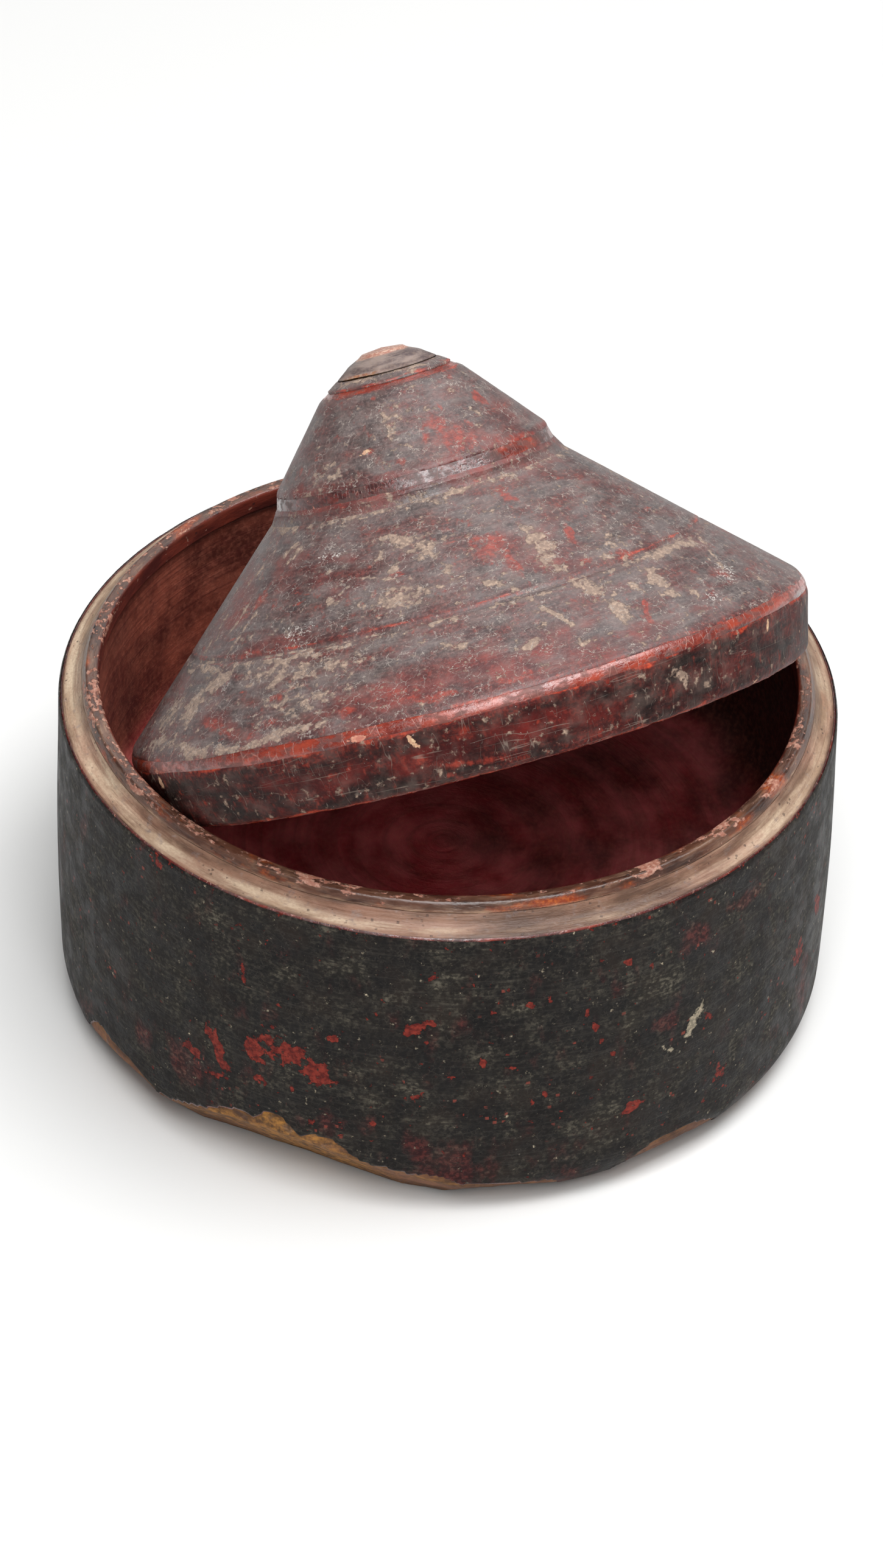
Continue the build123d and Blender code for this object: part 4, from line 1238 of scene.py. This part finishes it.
# %% Wear all round the lid
def lid_wear(angle, radius, height):
    uneven = unevenness(points_at(angle, radius, height), 15, 98)
    shoulder, low_edge = near(height, 17.2, 2.1) * (1.0 + 0.4 * uneven), 0.75 * near(height, 0, 1.0)
    ring = 0.5 * near(height, 93.5, 0.4) + 0.5 * near(height, 94.9, 0.3)
    above_groove = 0.6 * near(height, GROOVE_HEIGHT + 0.9, 0.4) * (0.9 + uneven)
    flanks = near(height, 68.7, 1.6) + near(height, 72.8, 1.4)
    above_shoulder = towards(angle, 155, 32) * near(height, 20.5, 4.5) * (0.95 + 0.4 * uneven)
    under_ridge, under_tip = 0.55 * near(height, 66.2, 1.5) * (1.1 + uneven), 0.4 * near(height, 96.2, 0.8)
    under_groove = 0.4 * near(height, GROOVE_HEIGHT - 1.0, 0.5)
    angle, height = wandering(angle, height, radius, 86)
    dust, glaze = (worn(angle, height, radius, places, LID_STEEP) for places in (CAKED_DUST, MAROON_GLAZE))
    return {
        "rubbed": shoulder + ring + low_edge + above_groove,
        "red": worn(angle, height, radius, VERMILION, LID_STEEP),
        "dust": np.maximum(dust, under_ridge + under_tip + under_groove),
        "maroon": np.maximum(glaze, flanks + above_shoulder),
        "bare": worn(angle, height, radius, WOOD_CHIPS),
        "scratched": worn(angle, height, radius, SCRATCHES, LID_STEEP),
    }


BRIGHT_RIDGE = [(205, 71, 9, 6, 0, 0.72), (300, 71, 10, 6, 0, 0.6)]
RED_CHIPS = [(135.5, 17.2, 3.0, 1.0, 0, 0.95), (88.4, 16.6, 1.8, 1.2, 75, 0.95)]


def lid_red_wear(angle, radius, height):
    ridge = (height > 60) & (height < 80)
    bright = worn(angle, height, radius, BRIGHT_RIDGE)
    low_side = 0.35 * near(height, 15.8, 0.9) + 0 * angle
    return {
        "bare": worn(angle, height, radius, RED_CHIPS),
        "dull": 0.95 * ridge - bright * ridge + 0.12 + low_side,
    }


# %% [markdown]
# The red coat goes on first, over the whole cone, and then the dark one. Each stretch of dark coat is
# given by its ragged low and high edge. Its edges thin out over about a millimetre, and over far
# less at the very top, where the tip's seat has to stay flat.

# %% The lid's coats
lid_side = outline(LID_OUTSIDE, 0.6)
SLOW_TAPER, QUICK_TAPER = 1.2, 0.06


def stretch(low, high):
    """The part of the lid's outline between two heights."""
    inner = lid_side[(lid_side[:, 1] > low) & (lid_side[:, 1] < high)]
    ends = [(np.interp(z, lid_side[:, 1], lid_side[:, 0]), z) for z in (low, high)]
    return np.vstack([ends[0], inner, ends[1]])


chipped_edge = np.clip(0.15 + 0.25 * ragged(3, 92, 4), 0.03, 1) + 1.6 * np.clip(ragged(7, 90) - 0.3, 0, 1)
level_top = np.full(ROUND, LID_TOP)
lid_red = coat(
    "lid_ground_coat", stretch(0, LID_TOP), chipped_edge, level_top - 0.04, DARK_COAT, RED_COAT,
    lid_sunk, lid_red_wear, taper=QUICK_TAPER, back_rows=40,
)
settle(lid_red, "lid", "red_lac", red_lac, "lid_red_coat")
rubbed_up = 0.9 * worn(directions(), 0, FLAT_RADIUS, [(125, 0, 28, 1, 0, 1)])
edges = {
    "lid_band_dark_coat": (
        chipped_edge + 0.3 + 0.4 * np.abs(ragged(6, 93)), 15.7 + 0.35 * ragged(9, 94) + 0.5 * ragged(30, 95),
    ),
    "lid_cone_dark_coat": (
        19.0 + 0.35 * ragged(9, 96) + 0.6 * ragged(35, 97) + rubbed_up, 69.2 + 0.3 * ragged(10, 98),
    ),
    "lid_peak_dark_coat": (72.2 + 0.3 * ragged(9, 99), 93.65 + 0.12 * ragged(20, 100)),
    "lid_top_dark_coat": (94.7 + 0.15 * ragged(20, 101), level_top),
}
for name, (low, high) in edges.items():
    path, taper = stretch(low.mean(), high.mean()), QUICK_TAPER if "top" in name else SLOW_TAPER
    piece = coat(name, path, low, high, 0, DARK_COAT, lid_sunk, lid_wear, taper=taper)
    settle(piece, "lid", "dark_lac", band_shaded_lac if "band" in name else lid_lac, "lid_dark_coat")

# %% [markdown]
# The tip is a little knob glued in by a tenon. Its side is grimy like the lid; a worn disc of
# pinkish bare wood is left on top, and bare ochre wood shows along the crack round its seat. The
# glue has let go on one side, where the crack gapes. All round the rest, the knob's underside is
# brought down to the dented ring, so that no light gets in between.

# %% The tip
TENON_RADIUS, TENON_END, SEAT = 7, 82.8, 96.85
CRACK_TOP, DISC_HEIGHT = 97.6, 100.7
tip_path = outline([
    (0, TENON_END, 0), (TENON_RADIUS, TENON_END, 0), (TENON_RADIUS, SEAT, 0), (13.0, SEAT, 0.1),
    (9.6, 99.5, 5), (6.6, 100.9, 0.8), (5.6, 101.7, 0.8), (0, 102.0, 0),
], 0.35)


def crack_side(angle):
    """1 on the side where the crack gapes, 0 opposite."""
    return towards(angle, 118, 24)


def tip_sunk(angle, radius, height):
    knocks = 0.1 * (1 + unevenness(points_at(angle, radius, height), 5, 111)) * np.clip(height - 97.5, 0, 1)
    crack = 0.3 * crack_side(angle) * np.clip((CRACK_TOP - height) / 0.5, 0, 1)
    dented = dents(angle, radius, height, LID_SEED)
    seated = -(dented + 0.06) * (1 - crack_side(angle)) * (radius > TENON_RADIUS + 0.5)
    return np.where(height > SEAT + 0.08, dented + knocks + crack, seated)


def tip_wear(angle, radius, height):
    patchy = 0.3 * unevenness(points_at(angle, radius, height), 6, 112)
    top = np.clip((height - DISC_HEIGHT - patchy) / 0.3, 0, 1)
    cracked = crack_side(angle) * (height < CRACK_TOP)
    return {
        "tone": np.clip((height - 97.5) / 2, 0, 1) + 0 * angle,
        "flushed": np.maximum(top, 0.6 * cracked),
        "grime": 1.3 + patchy - 1.3 * top - 1.2 * cracked,
        "stain_and_shade": 0.25 + patchy,
    }


tip = solid("lid_tip_knob", tip_path, tip_sunk, tip_wear)
settle(tip, "lid", "turned_wood", bare_wood, "lid_tip")

# %% [markdown]
# ## The picture
#
# The camera stands in front and looks down at 38 degrees from about 1.9 m, with a long lens, as
# the photograph's ellipses say. It is turned by two degrees, as a hand-held camera is.

# %% The camera
PIXELS_TALL, FOCAL_PIXELS, SENSOR = 2576, 12000, 36.0
AIM, DISTANCE = Vector((-1.14, 0, 59.92)) * MM, 1896.3 * MM
ELEVATION, ROLL = radians(38.404), radians(2.069)
back = Vector((0, -cos(ELEVATION), sin(ELEVATION)))
level = Vector((1, 0, 0))
upright = back.cross(level)
right = cos(ROLL) * level + sin(ROLL) * upright
above = -sin(ROLL) * level + cos(ROLL) * upright
lens = bpy.data.cameras.new("long_lens")
lens.sensor_fit, lens.sensor_height = "VERTICAL", SENSOR
lens.lens = FOCAL_PIXELS * SENSOR / PIXELS_TALL
lens.clip_end = 50
camera = bpy.data.objects.new("camera", lens)
camera.matrix_world = Matrix((
    (right.x, above.x, back.x, 0), (right.y, above.y, back.y, 0), (right.z, above.z, back.z, 0), (0, 0, 0, 1),
))
camera.location = AIM + back * DISTANCE
bpy.context.scene.collection.objects.link(camera)
bpy.context.scene.camera = camera
print("lens:", round(lens.lens, 1), "mm")

# %% [markdown]
# A plain pale floor and soft studio light. The highlights on the shoulder and the ridge, and the
# lit left wall inside, put the main lamp high up, a little in front and to the right. A smaller one
# in front reaches the floor inside, below the lid. A large weak one behind lights the far side, as a
# window would, and a weak pale sky fills the shadows. The floor reaches six metres out, so that no
# low view shows its end.

# %% Floor and light
FLOOR_REACH = 6.0
LAMP_AIM = Vector((0, 0, 0.08))


def paper_floor():
    m = new_material("pale_paper_floor")
    faint = blotches(m, 400, (0.3, 0.7), 81)
    return finish(m, over(m, "#dcdcdb", "#d8d8d7", faint), 0.9, relief(m, (faint, 0.01)))


floor_corners = [(x * FLOOR_REACH, y * FLOOR_REACH, 0) for x, y in ((-1, -1), (1, -1), (1, 1), (-1, 1))]
floor_mesh = bpy.data.meshes.new("floor")
floor_mesh.from_pydata(floor_corners, [], [(0, 1, 2, 3)])
floor = bpy.data.objects.new("floor", floor_mesh)
floor.data.materials.append(paper_floor())
bpy.context.scene.collection.objects.link(floor)


def soft_lamp(name, place, width, depth, power):
    """A wide rectangular lamp that faces the box."""
    lamp = bpy.data.lights.new(name, "AREA")
    lamp.shape, lamp.size, lamp.size_y, lamp.energy = "RECTANGLE", width, depth, power
    holder = bpy.data.objects.new(name, lamp)
    holder.location = place
    holder.rotation_euler = (LAMP_AIM - Vector(place)).to_track_quat("-Z", "Y").to_euler()
    bpy.context.scene.collection.objects.link(holder)
    print(f"{name}: {power} W, {width} by {depth} m")


soft_lamp("lamp_above", (0.3, -0.35, 1.7), 2.1, 0.8, 43)
soft_lamp("lamp_front", (0.15, -1.35, 1.35), 0.8, 0.8, 13)
soft_lamp("lamp_behind", (0.3, 2.2, 2.4), 3.2, 2.2, 30)
sky = bpy.data.worlds.new("pale_sky")
sky.use_nodes = True
background = sky.node_tree.nodes["Background"]
background.inputs["Color"].default_value = colour("#ffffff")
background.inputs["Strength"].default_value = 0.2
bpy.context.scene.world = sky
bpy.context.scene.view_settings.view_transform = "Standard"
